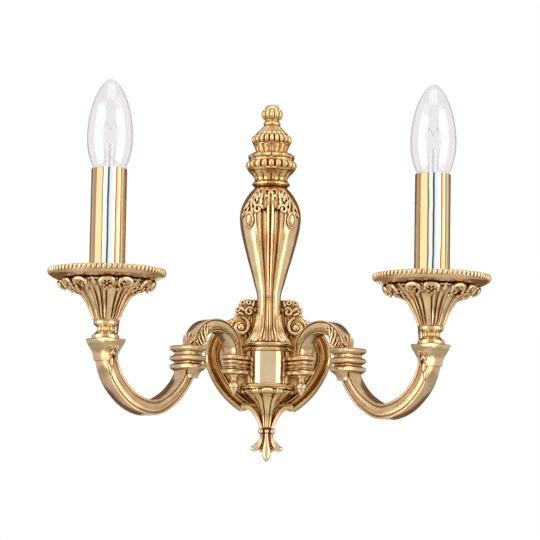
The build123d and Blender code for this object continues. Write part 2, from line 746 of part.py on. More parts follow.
def inner_collar():
    """Four level mouldings that run from the pendant's axis back into the drum."""
    centre = (BAR_LENGTH - 1.2 + BAR_ROOT_U) / 2
    half = (BAR_LENGTH - 1.2 - BAR_ROOT_U) / 2
    top = BAR_TOP_Z
    low = BAR_BOTTOM_Z
    profile = [
        (0.2, low),
        (1.2, low + 0.9),
        (1.2, low + 3.3),
        (-0.4, low + 4.6),
        (-0.4, low + 5.2),
        (0.6, low + 5.6),
        (0.6, low + 7.2),
        (-0.4, low + 7.8),
        (0.7, low + 8.4),
        (0.7, low + 10.2),
        (-0.3, low + 10.8),
        (1.2, low + 11.8),
        (1.2, top - 0.9),
        (0.2, top),
    ]
    return Pos(centre, 0, 0) * mitred(half, BAR_HALF_V, profile)


def outer_collar():
    """Moulded collar between the arch and the bow, with a flare below it."""
    low = COLLAR_BOTTOM_Z
    top = COLLAR_TOP_Z
    profile = [
        (0.0, low),
        (0.0, low + 2.6),
        (-2.4, low + 3.6),
        (-2.4, low + 4.9),
        (-1.0, low + 5.6),
        (0.2, low + 7.6),
        (-1.0, low + 9.6),
        (-2.2, low + 10.4),
        (-2.2, low + 12.4),
        (-1.2, low + 13.2),
        (0.2, top - 2.0),
        (0.2, top - 0.9),
        (-1.2, top),
    ]
    collar = Pos(COLLAR_U, 0, 0) * mitred(COLLAR_LENGTH / 2, COLLAR_WIDTH / 2, profile)
    leg = bow_stations()[1]
    flare = loft([
        rectangle_at(leg[0] + 0.8, low - 7.6, 10.4, ARM_WIDTH + 0.2),
        rectangle_at(COLLAR_U + 1.4, low - 3.6, 12.6, ARM_WIDTH + 2.0),
        rectangle_at(COLLAR_U + 0.4, low - 1.2, 15.6, ARM_WIDTH + 5.2),
        rectangle_at(COLLAR_U, low, COLLAR_LENGTH, COLLAR_WIDTH),
    ], ruled=True)
    return collar + flare


def top_block():
    """Square block that carries the candle cup, flared from the bow."""
    flare = loft([
        rectangle_at(ARM_REACH - 1.2, BLOCK_TOP_Z - 16.0, 12.4, ARM_WIDTH + 0.2),
        rectangle_at(ARM_REACH - 0.6, BLOCK_TOP_Z - 9.0, 14.4, ARM_WIDTH + 2.2),
        rectangle_at(ARM_REACH - 0.2, BLOCK_TOP_Z - 5.2, 17.0, ARM_WIDTH + 4.8),
        rectangle_at(ARM_REACH, BLOCK_TOP_Z - 3.2, BLOCK_SIZE, BLOCK_SIZE),
    ], ruled=True)
    slab_top = Pos(ARM_REACH, 0, 0) * mitred(BLOCK_SIZE / 2, BLOCK_SIZE / 2, [
        (0.0, BLOCK_TOP_Z - 3.2),
        (0.3, BLOCK_TOP_Z - 2.4),
        (0.3, BLOCK_TOP_Z - 0.5),
        (-0.4, BLOCK_TOP_Z),
    ])
    return flare + slab_top


def arch_leaf():
    """Acanthus leaf that wraps the outer leg of the arch, with a midrib and stepped lobes."""
    stations = hump_stations()[5:10]
    wide = [(u, z, depth + 2.6) for u, z, depth in stations]
    leaf = extrude(band(wide, 0.1, 0.5), amount=ARM_WIDTH / 2 + 1.1, both=True)
    return leaf


def side_drop(side_v):
    """Bell flower and drop on the side of the outer leg, under the top block."""
    drop = round_stack(8, [(2.6, 0), (2.2, 1.6), (0.9, 2.4)])
    drop = scale(drop, (1.0, 2.2, 1.0))
    place = Pos(ARM_REACH - 1.6, side_v * (ARM_WIDTH / 2 - PANEL_DEPTH), BLOCK_TOP_Z - 24.0)
    return place * Rot(-90 * side_v, 0, 0) * drop


def lug_block():
    """The arm's root inside the drum: a lug that lies flat on the plate."""
    height = BAR_TOP_Z - BAR_BOTTOM_Z - 3.0
    middle = (BAR_TOP_Z + BAR_BOTTOM_Z) / 2 - 0.6
    return Pos(LUG_X, FIELD_Y - LUG_DEPTH / 2, middle) * Box(LUG_WIDTH, LUG_DEPTH, height)


def make_arm(side):
    """One cast arm: inner collar and lug, arch, outer collar, bow, top block and wireway."""
    arm = inner_collar() + moulded_band(hump_stations()) + outer_collar()
    arm += moulded_band(bow_stations()) + top_block() + arch_leaf()
    for side_v in (-1, 1):
        arm += side_drop(side_v)
    arm -= wireway()
    arm -= peg(PENDANT_STUD + FIT, BAR_BOTTOM_Z - 1, BAR_BOTTOM_Z + 4.0)
    placed = arm_place(1, arm)
    placed -= cup_place(1, peg(THREAD_RADIUS + FIT, TUBE_LOW_Z, BLOCK_TOP_Z + 1))
    placed += lug_block() & column(peg(DRUM_RADIUS - DRUM_WALL - CLEAR, -60, 60))
    placed -= arm_place(1, wire_exit())
    placed -= lug_screw_hole(1)
    return placed if side > 0 else mirror(placed, about=Plane.YZ)


def wire_route():
    """The way of the wire through the arm, from the inner collar to the top block, in the arm's plane."""
    hump = [(u, z) for u, z, depth in hump_stations()[1::2]]
    bow = [(u, z) for u, z, depth in bow_stations()[::3]]
    return [(HUMP_FOOT_U, WIRE_LEVEL)] + hump + bow + [(ARM_REACH, TUBE_LOW_Z + 1.0)]


def wireway():
    """Channel inside the cast arm, in straight runs."""
    return straight_runs(wire_route(), WIREWAY_WIDTH - 1.0, WIREWAY_WIDTH, WIREWAY_WIDTH / 2)


def wire_exit():
    """Hole from the arch's foot back through the bars, and up into the drum."""
    bore = LEAD_RADIUS + 0.7
    along = Pos(0, 0, WIRE_LEVEL) * Rot(0, 90, 0) * peg(bore, WIRE_EXIT_U - bore, HUMP_FOOT_U + bore)
    up = Pos(WIRE_EXIT_U, 0, 0) * peg(bore, WIRE_LEVEL - bore, WIRE_LEVEL + 12)
    return along + up


def make_pendant(side):
    """Turned drop under the inner collar."""
    low = BAR_BOTTOM_Z
    tip = low - PENDANT_LENGTH
    drop = round_stack(SIDES, [
        (0.5, tip),
        (3.4, low - 11.6),
        (4.1, low - 8.4),
        (2.2, low - 4.4),
        (4.4, low - 1.0),
        (4.6, low),
    ])
    return arm_place(side, drop + peg(PENDANT_STUD, low - 0.5, low + 3.8))


# ---------------------------------------------------------------- candle cups
def husk_ring(radius, rise, z):
    """A section of the husk: six smooth panels and six bundles of two ribs."""
    points = []
    for i in range(6):
        for angle, share in ((0, 1.0), (13, 0), (30, 0.15), (47, 0)):
            reach = radius + rise * (share - 1.0)
            turn = math.radians(60 * i + angle)
            points.append((reach * math.cos(turn), reach * math.sin(turn), z))
    return points


def make_husk(side):
    """Leaf husk with ribs that spread from the foot to the pan."""
    base = BLOCK_TOP_Z
    top = base + HUSK_HEIGHT
    rim = HUSK_RIM_RADIUS
    foot = round_stack(16, [(9.9, base), (9.0, base + 2.6), (6.5, base + 6.4), (6.7, base + 10.4)])
    collar = round_stack(16, [(8.6, base + 10.4), (9.2, base + 12.0), (8.8, base + 13.4)])
    rows = [
        (9.4, 0.6, base + 13.4),
        (11.4, 1.0, base + 18.0),
        (14.8, 1.4, base + 25.5),
        (18.6, 1.8, base + 31.5),
        (24.0, 2.2, base + 35.6),
        (rim - 1.0, 2.4, base + 39.4),
        (rim, 2.4, top),
    ]
    bell = faceted([husk_ring(r, rise, z) for r, rise, z in rows])
    husk = foot.fuse(collar, bell)
    inside = [(6.4, base + 22.0), (15.5, base + 34.0), (rim - 6.0, top - 2.2), (rim - 5.0, top + 1)]
    husk -= round_stack(12, inside)
    husk -= peg(THREAD_RADIUS + FIT, base - 1, top + 1)
    return cup_place(side, husk)


def make_drip_pan(side):
    """Dished pan with a rolled rim."""
    under = BLOCK_TOP_Z + HUSK_HEIGHT
    rim_z = under + PAN_THICKNESS + PAN_DEPTH
    edge = PAN_RADIUS - 1.6
    dish = round_stack(WIDE_SIDES, [
        (33.6, under),
        (edge + 0.6, rim_z - 1.9),
        (PAN_RADIUS, rim_z - 0.9),
        (PAN_RADIUS, rim_z + 0.7),
        (edge + 0.6, rim_z + 1.2),
    ])
    dish -= round_stack(WIDE_SIDES, [(32.8, PAN_FLOOR_Z), (edge - 2.0, rim_z + 0.6), (edge - 1.6, rim_z + 3)])
    dish -= peg(THREAD_RADIUS + FIT, under - 1, PAN_FLOOR_Z + 1)
    return cup_place(side, dish)


def make_candle_sleeve(side):
    """Polished tube that hides the lampholder and stands on the pan."""
    tube = round_stack(WIDE_SIDES, [(SLEEVE_RADIUS, PAN_FLOOR_Z), (SLEEVE_RADIUS, SLEEVE_TOP_Z)])
    tube -= round_stack(WIDE_SIDES, [(SLEEVE_BORE, PAN_FLOOR_Z - 1), (SLEEVE_BORE, SLEEVE_TOP_Z + 1)])
    return cup_place(side, tube)


def make_threaded_tubes():
    """The two threaded tubes that clamp block, husk and pan."""
    tube = peg(THREAD_RADIUS, TUBE_LOW_Z, TUBE_TOP_Z) - peg(THREAD_BORE, TUBE_LOW_Z - 1, TUBE_TOP_Z + 1)
    return Compound(children=[cup_place(side, tube) for side in (-1, 1)])


def make_locknuts():
    """The two nuts above the pans."""
    nut = hexagon(NUT_ACROSS_FLATS, NUT_HEIGHT) - peg(THREAD_RADIUS + FIT, -NUT_HEIGHT, 2 * NUT_HEIGHT)
    nut = Pos(0, 0, PAN_FLOOR_Z) * nut
    return Compound(children=[cup_place(side, nut) for side in (-1, 1)])


def make_lampholder_body(side):
    """Insulating holder: post with a threaded foot, and the cup for the screw shell."""
    cup_low = HOLDER_TOP_Z - HOLDER_CUP_HEIGHT
    shell_low = SHELL_TOP_Z - SHELL_HEIGHT
    post = HOLDER_POST_RADIUS
    body = round_stack(SIDES, [
        (post, HOLDER_BASE_Z),
        (post, cup_low - 4.0),
        (HOLDER_RADIUS, cup_low),
        (HOLDER_RADIUS, HOLDER_TOP_Z),
    ])
    body -= round_stack(SIDES, [(4.0, shell_low - 3.0), (4.0, shell_low + 1)])
    body -= round_stack(SIDES, [(SHELL_RADIUS + FIT, shell_low), (SHELL_RADIUS + FIT, HOLDER_TOP_Z)])
    body -= round_stack(SIDES, [(SHELL_RADIUS + 1.2, SHELL_TOP_Z), (SHELL_RADIUS + 1.2, HOLDER_TOP_Z + 1)])
    body -= peg(THREAD_RADIUS + FIT, HOLDER_BASE_Z - 1, TUBE_TOP_Z)
    body -= peg(LEAD_RADIUS + CLEAR, HOLDER_BASE_Z, shell_low - 4.0)
    return cup_place(side, body)


def make_lampholder_shell(side):
    """Screw shell that takes the lamp's cap."""
    low = SHELL_TOP_Z - SHELL_HEIGHT
    shell = round_stack(SIDES, [(SHELL_RADIUS, low), (SHELL_RADIUS, SHELL_TOP_Z)])
    bore = SHELL_RADIUS - SHELL_WALL
    shell -= round_stack(SIDES, [(bore, low - 1), (bore, SHELL_TOP_Z + 1)])
    return cup_place(side, shell)


def make_centre_contact(side):
    """Spring tongue under the lamp's tip."""
    low = SHELL_TOP_Z - SHELL_HEIGHT - 3.0
    high = BULB_BOTTOM_Z
    foot = [(-2.6, low), (2.6, low), (2.6, low + 0.5), (-0.6, low + 0.5)]
    tip = [(2.2, high), (1.3, high), (-2.6, low + 0.9)]
    tongue = extrude(outline(foot + tip), amount=1.5, both=True)
    return cup_place(side, tongue)


def make_bulb_glass(side):
    """Clear candle-shaped envelope."""
    r = BULB_RADIUS
    wall = GLASS_WALL
    mouth = SLEEVE_BORE - CLEAR - 0.1
    height = BULB_TOP_Z - SLEEVE_TOP_Z
    neck = [(BULB_CAP_RADIUS - 0.6, BULB_CAP_TOP_Z), (mouth, SLEEVE_TOP_Z)]
    shares = [(0.82, 0.08), (0.97, 0.23), (1.0, 0.37), (0.885, 0.61), (0.66, 0.81), (0.33, 0.95), (0.06, 1.0)]
    outer = neck + [(r * wide, SLEEVE_TOP_Z + height * up) for wide, up in shares]
    inner = [
        (mouth - 3 * wall - 0.8, SLEEVE_TOP_Z - STEM_SINK),
        (r * 0.80 - wall, SLEEVE_TOP_Z + height * 0.10),
        (r * 0.98 - wall, SLEEVE_TOP_Z + height * 0.36),
        (r * 0.62 - wall, SLEEVE_TOP_Z + height * 0.81),
        (r * 0.10, SLEEVE_TOP_Z + height * 0.965),
    ]
    return cup_place(side, round_stack(GLASS_SIDES, outer) - round_stack(SIDES, inner))


def make_bulb_cap(side):
    """Screw cap of the lamp, with its insulated tip."""
    low = BULB_BOTTOM_Z
    r = BULB_CAP_RADIUS
    cap = round_stack(SIDES, [(2.6, low), (4.0, low + 2.6), (r, low + 4.4), (r, BULB_CAP_TOP_Z)])
    return cup_place(side, cap)


def make_bulb_stem(side):
    """Glass stem inside the lamp that carries the filament."""
    low = SLEEVE_TOP_Z - STEM_SINK
    stem = Pos(0, 0, low) * extrude(RegularPolygon(3.6, 8), amount=3.0)
    stem += Pos(0, 0, low + 3.0) * extrude(RegularPolygon(1.6, 8), amount=20.0)
    return cup_place(side, stem)


def make_filament(side):
    """Zigzag filament with its two support wires."""
    low = SLEEVE_TOP_Z - 0.18
    high = low + 36.0
    bend = high - 6.0
    spots = [(-2.6, low), (-6.0, bend), (-3.0, high), (0.0, bend), (3.0, high), (6.0, bend), (2.6, low)]
    return cup_place(side, straight_runs(spots, FILAMENT_SIZE, FILAMENT_SIZE, FILAMENT_SIZE / 2))


# ---------------------------------------------------------------- wall bracket, screws and wiring
def make_wall_bracket():
    """Steel strap with two wall slots, a cable entry and bent ears for the side screws."""
    half = bracket_half_length()
    middle = -BRACKET_THICKNESS / 2
    strap = Pos(0, middle, 0) * Box(SLOT_SPACING + SLOT_LENGTH + 4.0, BRACKET_THICKNESS, BRACKET_WIDTH)
    strap += Pos(0, middle, PLATE_WIDEST_Z) * Box(2 * half, BRACKET_THICKNESS, EAR_WIDTH)
    for side in (-1, 1):
        place = Pos(side * (half + middle), -EAR_REACH / 2, PLATE_WIDEST_Z)
        ear = place * Box(BRACKET_THICKNESS, EAR_REACH, EAR_WIDTH)
        ear -= side_screw_axis(side) * peg(SIDE_SCREW_RADIUS, half - 5, half + 5)
        strap += ear
        slot = extrude(SlotOverall(SLOT_LENGTH, 2 * SLOT_RADIUS), amount=4 * BRACKET_THICKNESS, both=True)
        strap -= Pos(side * SLOT_SPACING / 2, 0, 0) * Rot(90, 0, 0) * slot
    strap -= Pos(0, 0, CABLE_ENTRY_Z) * Rot(90, 0, 0) * Cylinder(CABLE_ENTRY_RADIUS, 10)
    return strap


def bracket_half_length():
    """Half the bracket's length, set by the inside of the plate's rim."""
    return PLATE_HALF_WIDTH - PLATE_WALL - 3.8


def make_side_screws():
    """Two cheese-head screws through the plate's rim into the bracket's ears."""
    screws = []
    start = bracket_half_length() - BRACKET_THICKNESS - 2.0
    seat = PLATE_HALF_WIDTH - SIDE_SCREW_SINK
    for side in (-1, 1):
        screw = peg(SIDE_SCREW_RADIUS - FIT, start, seat) + peg(SIDE_SCREW_HEAD, seat, seat + 2.2)
        screw -= Pos(0, 0, seat + 2.2) * Box(0.8, 9, 1.6)
        screws.append(side_screw_axis(side) * screw)
    return Compound(children=screws)


def pan_head_screw(radius, length):
    """A screw along +Y into the wall side: its head is at the origin and its shank runs to -Y."""
    return Rot(90, 0, 0) * (peg(radius, 0, length) + peg(radius * 1.8, -radius, 0))


def make_arm_screws():
    """Screws from behind the plate into the arms' lugs."""
    inside = FIELD_Y + PLATE_WALL
    screw = pan_head_screw(LUG_SCREW_RADIUS, PLATE_WALL + 7.0)
    return Compound(children=[Pos(side * LUG_X, inside, LUG_SCREW_Z) * screw for side in (-1, 1)])


def make_seat_screws():
    """Screws from behind the plate into the corbel and the vase."""
    screws = []
    for z in SEAT_SCREW_HEIGHTS:
        back = FIELD_Y + (TONGUE_THICKNESS if z > PLATE_TOP_Z else PLATE_WALL)
        reach = back - FIELD_Y + 2.6
        screws.append(Pos(0, back, z) * pan_head_screw(SEAT_SCREW_RADIUS, reach))
    return Compound(children=screws)


def make_tie_rod():
    """Threaded rod that runs from the corbel through drum, cap and vase into the finial."""
    low = -DRUM_HALF_HEIGHT - 7.0
    high = VASE_TOP_Z + 12.0
    return column(peg(ROD_RADIUS, low, high))


def make_terminal_block():
    """Two-way terminal block on the bracket."""
    wide, deep, tall = BLOCK_TERMINAL
    top = CABLE_ENTRY_Z - CABLE_ENTRY_RADIUS - 0.6
    middle = top - tall / 2
    block = Pos(0, -BRACKET_THICKNESS - deep / 2, middle) * Box(wide, deep, tall)
    block -= Pos(0, -BRACKET_THICKNESS - deep, middle) * Box(1.6, 6.0, tall)
    for side in (-1, 1):
        block -= Pos(side * wide / 4, -BRACKET_THICKNESS - deep / 2, top) * Box(3.4, 3.4, 12.0)
        block -= Pos(side * wide / 4, -BRACKET_THICKNESS - deep, middle) * Rot(90, 0, 0) * peg(2.0, -2.5, 2.5)
    return block


def make_terminal_screws():
    """Clamp screws of the terminal block."""
    wide, deep, tall = BLOCK_TERMINAL
    middle = CABLE_ENTRY_Z - CABLE_ENTRY_RADIUS - 0.6 - tall / 2
    sunk = -BRACKET_THICKNESS - deep + 1.5
    screw = Rot(90, 0, 0) * peg(1.8, -1, 1)
    return Compound(children=[Pos(side * wide / 4, sunk, middle) * screw for side in (-1, 1)])


def make_earth_screw():
    """Earth screw on the bracket."""
    return Pos(18.0, -BRACKET_THICKNESS, 8.0) * Rot(90, 0, 0) * (peg(3.4, 0, 1.0) + peg(2.6, 1.0, 3.0))


def in_arm_plane(u, z):
    """The point of the right arm's upright plane as a point of the whole object."""
    angle = math.radians(ARM_ANGLE)
    return ARM_ROOT_X + u * math.cos(angle), FIELD_Y - ARM_ROOT_FORWARD - u * math.sin(angle), z


def make_lead(side):
    """Twin lead from the lampholder down through tube and arm, through the plate and to its terminal."""
    wide, deep, tall = BLOCK_TERMINAL
    over_bars = BAR_TOP_Z + LEAD_RADIUS + 0.4
    terminal = (wide / 4, -BRACKET_THICKNESS - deep / 2 - 0.5)
    path = [in_arm_plane(ARM_REACH, SHELL_TOP_Z - SHELL_HEIGHT - 8.0)]
    path += [in_arm_plane(u, z) for u, z in reversed(wire_route())]
    path += [in_arm_plane(WIRE_EXIT_U, WIRE_LEVEL), in_arm_plane(WIRE_EXIT_U, over_bars)]
    path += [(1.9, FIELD_Y - 2.5, CABLE_HOLE_Z + 0.2), (1.9, FIELD_Y + 6.0, CABLE_HOLE_Z)]
    path += [(*terminal, CABLE_HOLE_Z - 4.0), (*terminal, -4.0)]
    section = Plane(path[0], z_dir=(0, 0, -1)) * RegularPolygon(LEAD_RADIUS, 5)
    lead = sweep(section, path=Polyline(*path), transition=Transition.RIGHT)
    return lead if side > 0 else mirror(lead, about=Plane.YZ)


def build():
    """Make every node and write it."""
    save(make_backplate(), "backplate")
    save(make_hub_drum(), "hub_drum")
    save(make_hub_cap(), "hub_cap")
    save(make_hub_corbel(), "hub_corbel")
    save(make_baluster(), "baluster")
    save(make_crown_finial(), "crown_finial")
    save(make_tie_rod(), "tie_rod")
    save(make_wall_bracket(), "wall_bracket")
    save(make_side_screws(), "side_screws")
    save(make_arm_screws(), "arm_screws")
    save(make_seat_screws(), "seat_screws")
    save(make_terminal_block(), "terminal_block")
    save(make_terminal_screws(), "terminal_screws")
    save(make_earth_screw(), "earth_screw")
    save(make_threaded_tubes(), "threaded_tubes")
    save(make_locknuts(), "locknuts")
    for side, name in ((-1, "left"), (1, "right")):
        save(make_arm(side), f"arm_{name}")
        save(make_pendant(side), f"pendant_{name}")
        save(make_husk(side), f"husk_{name}")
        save(make_drip_pan(side), f"drip_pan_{name}")
        save(make_candle_sleeve(side), f"candle_sleeve_{name}")
        save(make_lampholder_body(side), f"lampholder_body_{name}")
        save(make_lampholder_shell(side), f"lampholder_shell_{name}")
        save(make_centre_contact(side), f"centre_contact_{name}")
        save(make_bulb_glass(side), f"bulb_glass_{name}")
        save(make_bulb_cap(side), f"bulb_cap_{name}")
        save(make_bulb_stem(side), f"bulb_stem_{name}")
        save(make_filament(side), f"filament_{name}")
        save(make_lead(side), f"lead_{name}")


build()
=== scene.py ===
import json
import logging
import math
from dataclasses import dataclass
from enum import Enum
from typing import Callable, Iterable, Optional, Sequence

import bmesh
import bpy
from mathutils import Matrix, Vector
from mathutils.kdtree import KDTree


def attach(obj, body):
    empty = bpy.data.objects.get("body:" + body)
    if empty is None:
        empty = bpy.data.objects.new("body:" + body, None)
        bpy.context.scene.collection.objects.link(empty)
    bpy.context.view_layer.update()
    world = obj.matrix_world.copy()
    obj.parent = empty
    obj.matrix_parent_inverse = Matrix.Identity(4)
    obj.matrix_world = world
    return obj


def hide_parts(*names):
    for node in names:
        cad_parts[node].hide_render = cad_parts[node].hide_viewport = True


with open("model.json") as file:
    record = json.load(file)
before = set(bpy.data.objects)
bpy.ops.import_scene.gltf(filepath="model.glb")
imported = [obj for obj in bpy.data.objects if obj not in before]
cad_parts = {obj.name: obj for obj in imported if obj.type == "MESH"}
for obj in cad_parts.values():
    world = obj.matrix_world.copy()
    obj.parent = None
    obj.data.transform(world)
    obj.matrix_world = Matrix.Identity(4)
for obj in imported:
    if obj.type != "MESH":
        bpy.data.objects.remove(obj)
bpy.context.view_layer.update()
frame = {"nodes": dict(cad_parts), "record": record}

# Double arm wall sconce in aged cast brass with two candle lamps.
# Sizes in the classes are millimetres in the frame of the model; Blender works in metres.

MM = 0.001
LOG = logging.getLogger("sconce")

Point = Sequence[float]
Colour = tuple[float, float, float]


# ---------------------------------------------------------------- finishes
class Slot(Enum):
    """Finishes of the sconce, named after the record's material slots."""

    ANTIQUE_BRASS = "antique_brass"
    POLISHED_BRASS = "polished_brass"
    STEEL = "steel"
    CLEAR_GLASS = "clear_glass"
    LAMP_CAP = "lamp_cap"
    FILAMENT_WIRE = "filament_wire"
    HOLDER_PLASTIC = "holder_plastic"
    TERMINAL_PLASTIC = "terminal_plastic"
    WIRE_INSULATION = "wire_insulation"


class Body(Enum):
    """Bodies of the frame that pieces ride on."""

    FIXTURE = "fixture"
    SLEEVE_LEFT = "sleeve_left"
    SLEEVE_RIGHT = "sleeve_right"
    LAMP_LEFT = "lamp_left"
    LAMP_RIGHT = "lamp_right"


class Hand(Enum):
    """Side of the sconce as seen from the front."""

    LEFT = -1
    RIGHT = 1

    @property
    def word(self) -> str:
        """Ending of the node names on this side."""
        return self.name.lower()

    @property
    def sleeve(self) -> Body:
        """Body of this side's candle sleeve."""
        return Body["SLEEVE_" + self.name]

    @property
    def lamp(self) -> Body:
        """Body of this side's lamp."""
        return Body["LAMP_" + self.name]


class NodeBoard:
    """A material's node tree while it is being wired."""

    def __init__(self, name: str) -> None:
        """Starts an empty material with an output node.

        Args:
            name: name of the material.
        """
        self.material = bpy.data.materials.new(name)
        self.material.use_nodes = True
        self.tree = self.material.node_tree
        self.tree.nodes.clear()
        self.output = self.add("ShaderNodeOutputMaterial")

    def add(self, kind: str, **settings: object) -> bpy.types.Node:
        """Adds a node.

        Args:
            kind: Blender's type name of the node.
            settings: attributes to set on it.

        Returns:
            The new node.
        """
        node = self.tree.nodes.new(kind)
        for key, value in settings.items():
            setattr(node, key, value)
        return node

    def join(self, start: bpy.types.NodeSocket, end: bpy.types.NodeSocket) -> None:
        """Links two sockets."""
        self.tree.links.new(start, end)

    def place(self) -> bpy.types.NodeSocket:
        """Returns the socket with Object coordinates."""
        return self.add("ShaderNodeTexCoord").outputs["Object"]

    def noise(self, place: bpy.types.NodeSocket, scale: float, detail: float = 3.0) -> bpy.types.NodeSocket:
        """Adds a noise pattern.

        Args:
            place: coordinates that it reads.
            scale: blotches to the metre.
            detail: layers of finer noise.

        Returns:
            The socket with values from 0 to 1.
        """
        node = self.add("ShaderNodeTexNoise")
        node.inputs["Scale"].default_value = scale
        node.inputs["Detail"].default_value = detail
        self.join(place, node.inputs["Vector"])
        return node.outputs["Fac"]

    def spread(self, value: bpy.types.NodeSocket, low: float, high: float, to_low: float,
               to_high: float) -> bpy.types.NodeSocket:
        """Maps a range of values to another, clamped.

        Args:
            value: socket to read.
            low: value that gives to_low.
            high: value that gives to_high.
            to_low: result at low.
            to_high: result at high.

        Returns:
            The socket with the result.
        """
        node = self.add("ShaderNodeMapRange", interpolation_type="SMOOTHSTEP")
        for name, number in (("From Min", low), ("From Max", high), ("To Min", to_low),
                             ("To Max", to_high)):
            node.inputs[name].default_value = number
        self.join(value, node.inputs["Value"])
        return node.outputs["Result"]

    def mix(self, share: bpy.types.NodeSocket, first: object, second: object) -> bpy.types.NodeSocket:
        """Mixes two colours.

        Args:
            share: 0 gives the first, 1 the second.
            first: colour or colour socket.
            second: colour or colour socket.

        Returns:
            The socket with the mixed colour.
        """
        node = self.add("ShaderNodeMix", data_type="RGBA")
        self.join(share, node.inputs["Factor"])
        for socket, colour in ((node.inputs[6], first), (node.inputs[7], second)):
            if isinstance(colour, tuple):
                socket.default_value = (*colour, 1.0)
            else:
                self.join(colour, socket)
        return node.outputs[2]

    def times(self, first: bpy.types.NodeSocket, second: object) -> bpy.types.NodeSocket:
        """Multiplies two values.

        Args:
            first: socket to read.
            second: number or socket.

        Returns:
            The socket with the product.
        """
        node = self.add("ShaderNodeMath", operation="MULTIPLY")
        self.join(first, node.inputs[0])
        if isinstance(second, float):
            node.inputs[1].default_value = second
        else:
            self.join(second, node.inputs[1])
        return node.outputs[0]

    def bumps(self, height: bpy.types.NodeSocket, strength: float, distance: float) -> bpy.types.NodeSocket:
        """Adds a bump.

        Args:
            height: socket with the height.
            strength: share of the bump that shows.
            distance: height of a full bump in millimetres.

        Returns:
            The socket with the normal.
        """
        node = self.add("ShaderNodeBump")
        node.inputs["Strength"].default_value = strength
        node.inputs["Distance"].default_value = distance * MM
        self.join(height, node.inputs["Height"])
        return node.outputs["Normal"]

    def skin(self, **sockets: object) -> bpy.types.Node:
        """Adds the surface shader.

        Args:
            sockets: values, colours or sockets by the shader's socket names, with _ for a space.

        Returns:
            The shader node, joined to the output.
        """
        shader = self.add("ShaderNodeBsdfPrincipled")
        for key, value in sockets.items():
            socket = shader.inputs[key.replace("_", " ")]
            if isinstance(value, bpy.types.NodeSocket):
                self.join(value, socket)
            elif isinstance(value, tuple):
                socket.default_value = (*value, 1.0)
            else:
                socket.default_value = value
        self.join(shader.outputs[0], self.output.inputs["Surface"])
        return shader


@dataclass(frozen=True)
class BrassFinish:
    """Brass that is bright on its high parts and brown where it lies deep: patina together with painted
    shade in its hollows.
    """

    name: str
    slot: Slot
    bright: Colour
    worn: Colour
    # brown and dark are patina together with painted shade, laid into the hollows by an ambient occlusion
    # node; dark goes in the deepest hollows
    brown: Colour
    dark: Colour
    roughness: float
    reach: float  # how far a neighbour shades, in millimetres
    patina_and_shade_start: float  # openness under which the patina and painted shade start
    grain: float  # height of the cast grain in millimetres
    drawn: float = 0.0  # radius of a tube with painted reflection lines along it, in millimetres

    def material(self) -> bpy.types.Material:
        """Returns the finish's material."""
        board = NodeBoard(self.name)
        place = board.place()
        patches = board.noise(place, 90.0, 4.0)
        specks = board.noise(place, 1400.0, 2.0)
        patina_and_shade_occlusion = board.add("ShaderNodeAmbientOcclusion", samples=6)
        patina_and_shade_occlusion.inputs["Distance"].default_value = self.reach * MM
        base = board.mix(board.spread(patches, 0.35, 0.72, 0.0, 1.0), self.bright, self.worn)
        # Painted shade with patina: brown where neighbours close in, dark in the deepest hollows.
        depth = board.spread(patina_and_shade_occlusion.outputs["AO"], self.patina_and_shade_start, self.patina_and_shade_start - 0.36, 0.0, 1.0)
        deep = board.spread(patina_and_shade_occlusion.outputs["AO"], self.patina_and_shade_start - 0.36, self.patina_and_shade_start - 0.70, 0.0, 1.0)
        # painted reflection lines on the candle sleeves
        if self.drawn:
            base = self.lines(board, place, base)
        tone = board.mix(deep, board.mix(depth, base, self.brown), self.dark)
        rough = board.spread(specks, 0.3, 0.75, self.roughness * 0.75, self.roughness * 1.45)
        relief = board.bumps(specks, 0.5, self.grain)
        board.skin(Base_Color=tone, Metallic=1.0, Roughness=rough, Normal=relief)
        return board.material

    def lines(self, board: NodeBoard, place: bpy.types.NodeSocket,
              base: bpy.types.NodeSocket) -> bpy.types.NodeSocket:
        """Paints light and dark lines along the tube: painted reflections of a studio, set by place across
        the tube.

        Args:
            board: board of the material.
            place: coordinates.
            base: colour between the lines.

        Returns:
            The colour with its painted reflection lines.
        """
        # Painted reflections: a ramp of light and dark stripes read from the place across the tube's axis,
        # tan at both edges.
        apart = board.add("ShaderNodeSeparateXYZ")
        board.join(place, apart.inputs[0])
        side = board.add("ShaderNodeMath", operation="SIGN")
        board.join(apart.outputs["X"], side.inputs[0])
        across = board.add("ShaderNodeMath", operation="SUBTRACT")
        board.join(apart.outputs["X"], across.inputs[0])
        board.join(board.times(side.outputs[0], Candle.reach_x * MM), across.inputs[1])
        wobble = board.spread(board.noise(place, 45.0, 2.0), 0.3, 0.7, -0.2 * MM, 0.2 * MM)
        shifted = board.add("ShaderNodeMath", operation="ADD")
        board.join(across.outputs[0], shifted.inputs[0])
        board.join(wobble, shifted.inputs[1])
        share = board.add("ShaderNodeMapRange")
        share.inputs["From Min"].default_value = -self.drawn * MM
        share.inputs["From Max"].default_value = self.drawn * MM
        board.join(shifted.outputs[0], share.inputs["Value"])
        reflection_ramp = board.add("ShaderNodeValToRGB")
        board.join(share.outputs["Result"], reflection_ramp.inputs["Fac"])
        stops = reflection_ramp.color_ramp.elements
        stops[0].position, stops[0].color = 0.0, (0.45, 0.27, 0.12, 1.0)
        stops[1].position, stops[1].color = 1.0, (0.38, 0.20, 0.08, 1.0)
        for spot, colour in PAINTED_REFLECTION_LINES:
            stops.new(spot).color = (*colour, 1.0)
        # 0.92 everywhere: the painted reflection lines take that share of the base colour.
        cover = board.spread(apart.outputs["X"], -1.0, 1.0, 0.92, 0.92)
        return board.mix(cover, base, reflection_ramp.outputs["Color"])


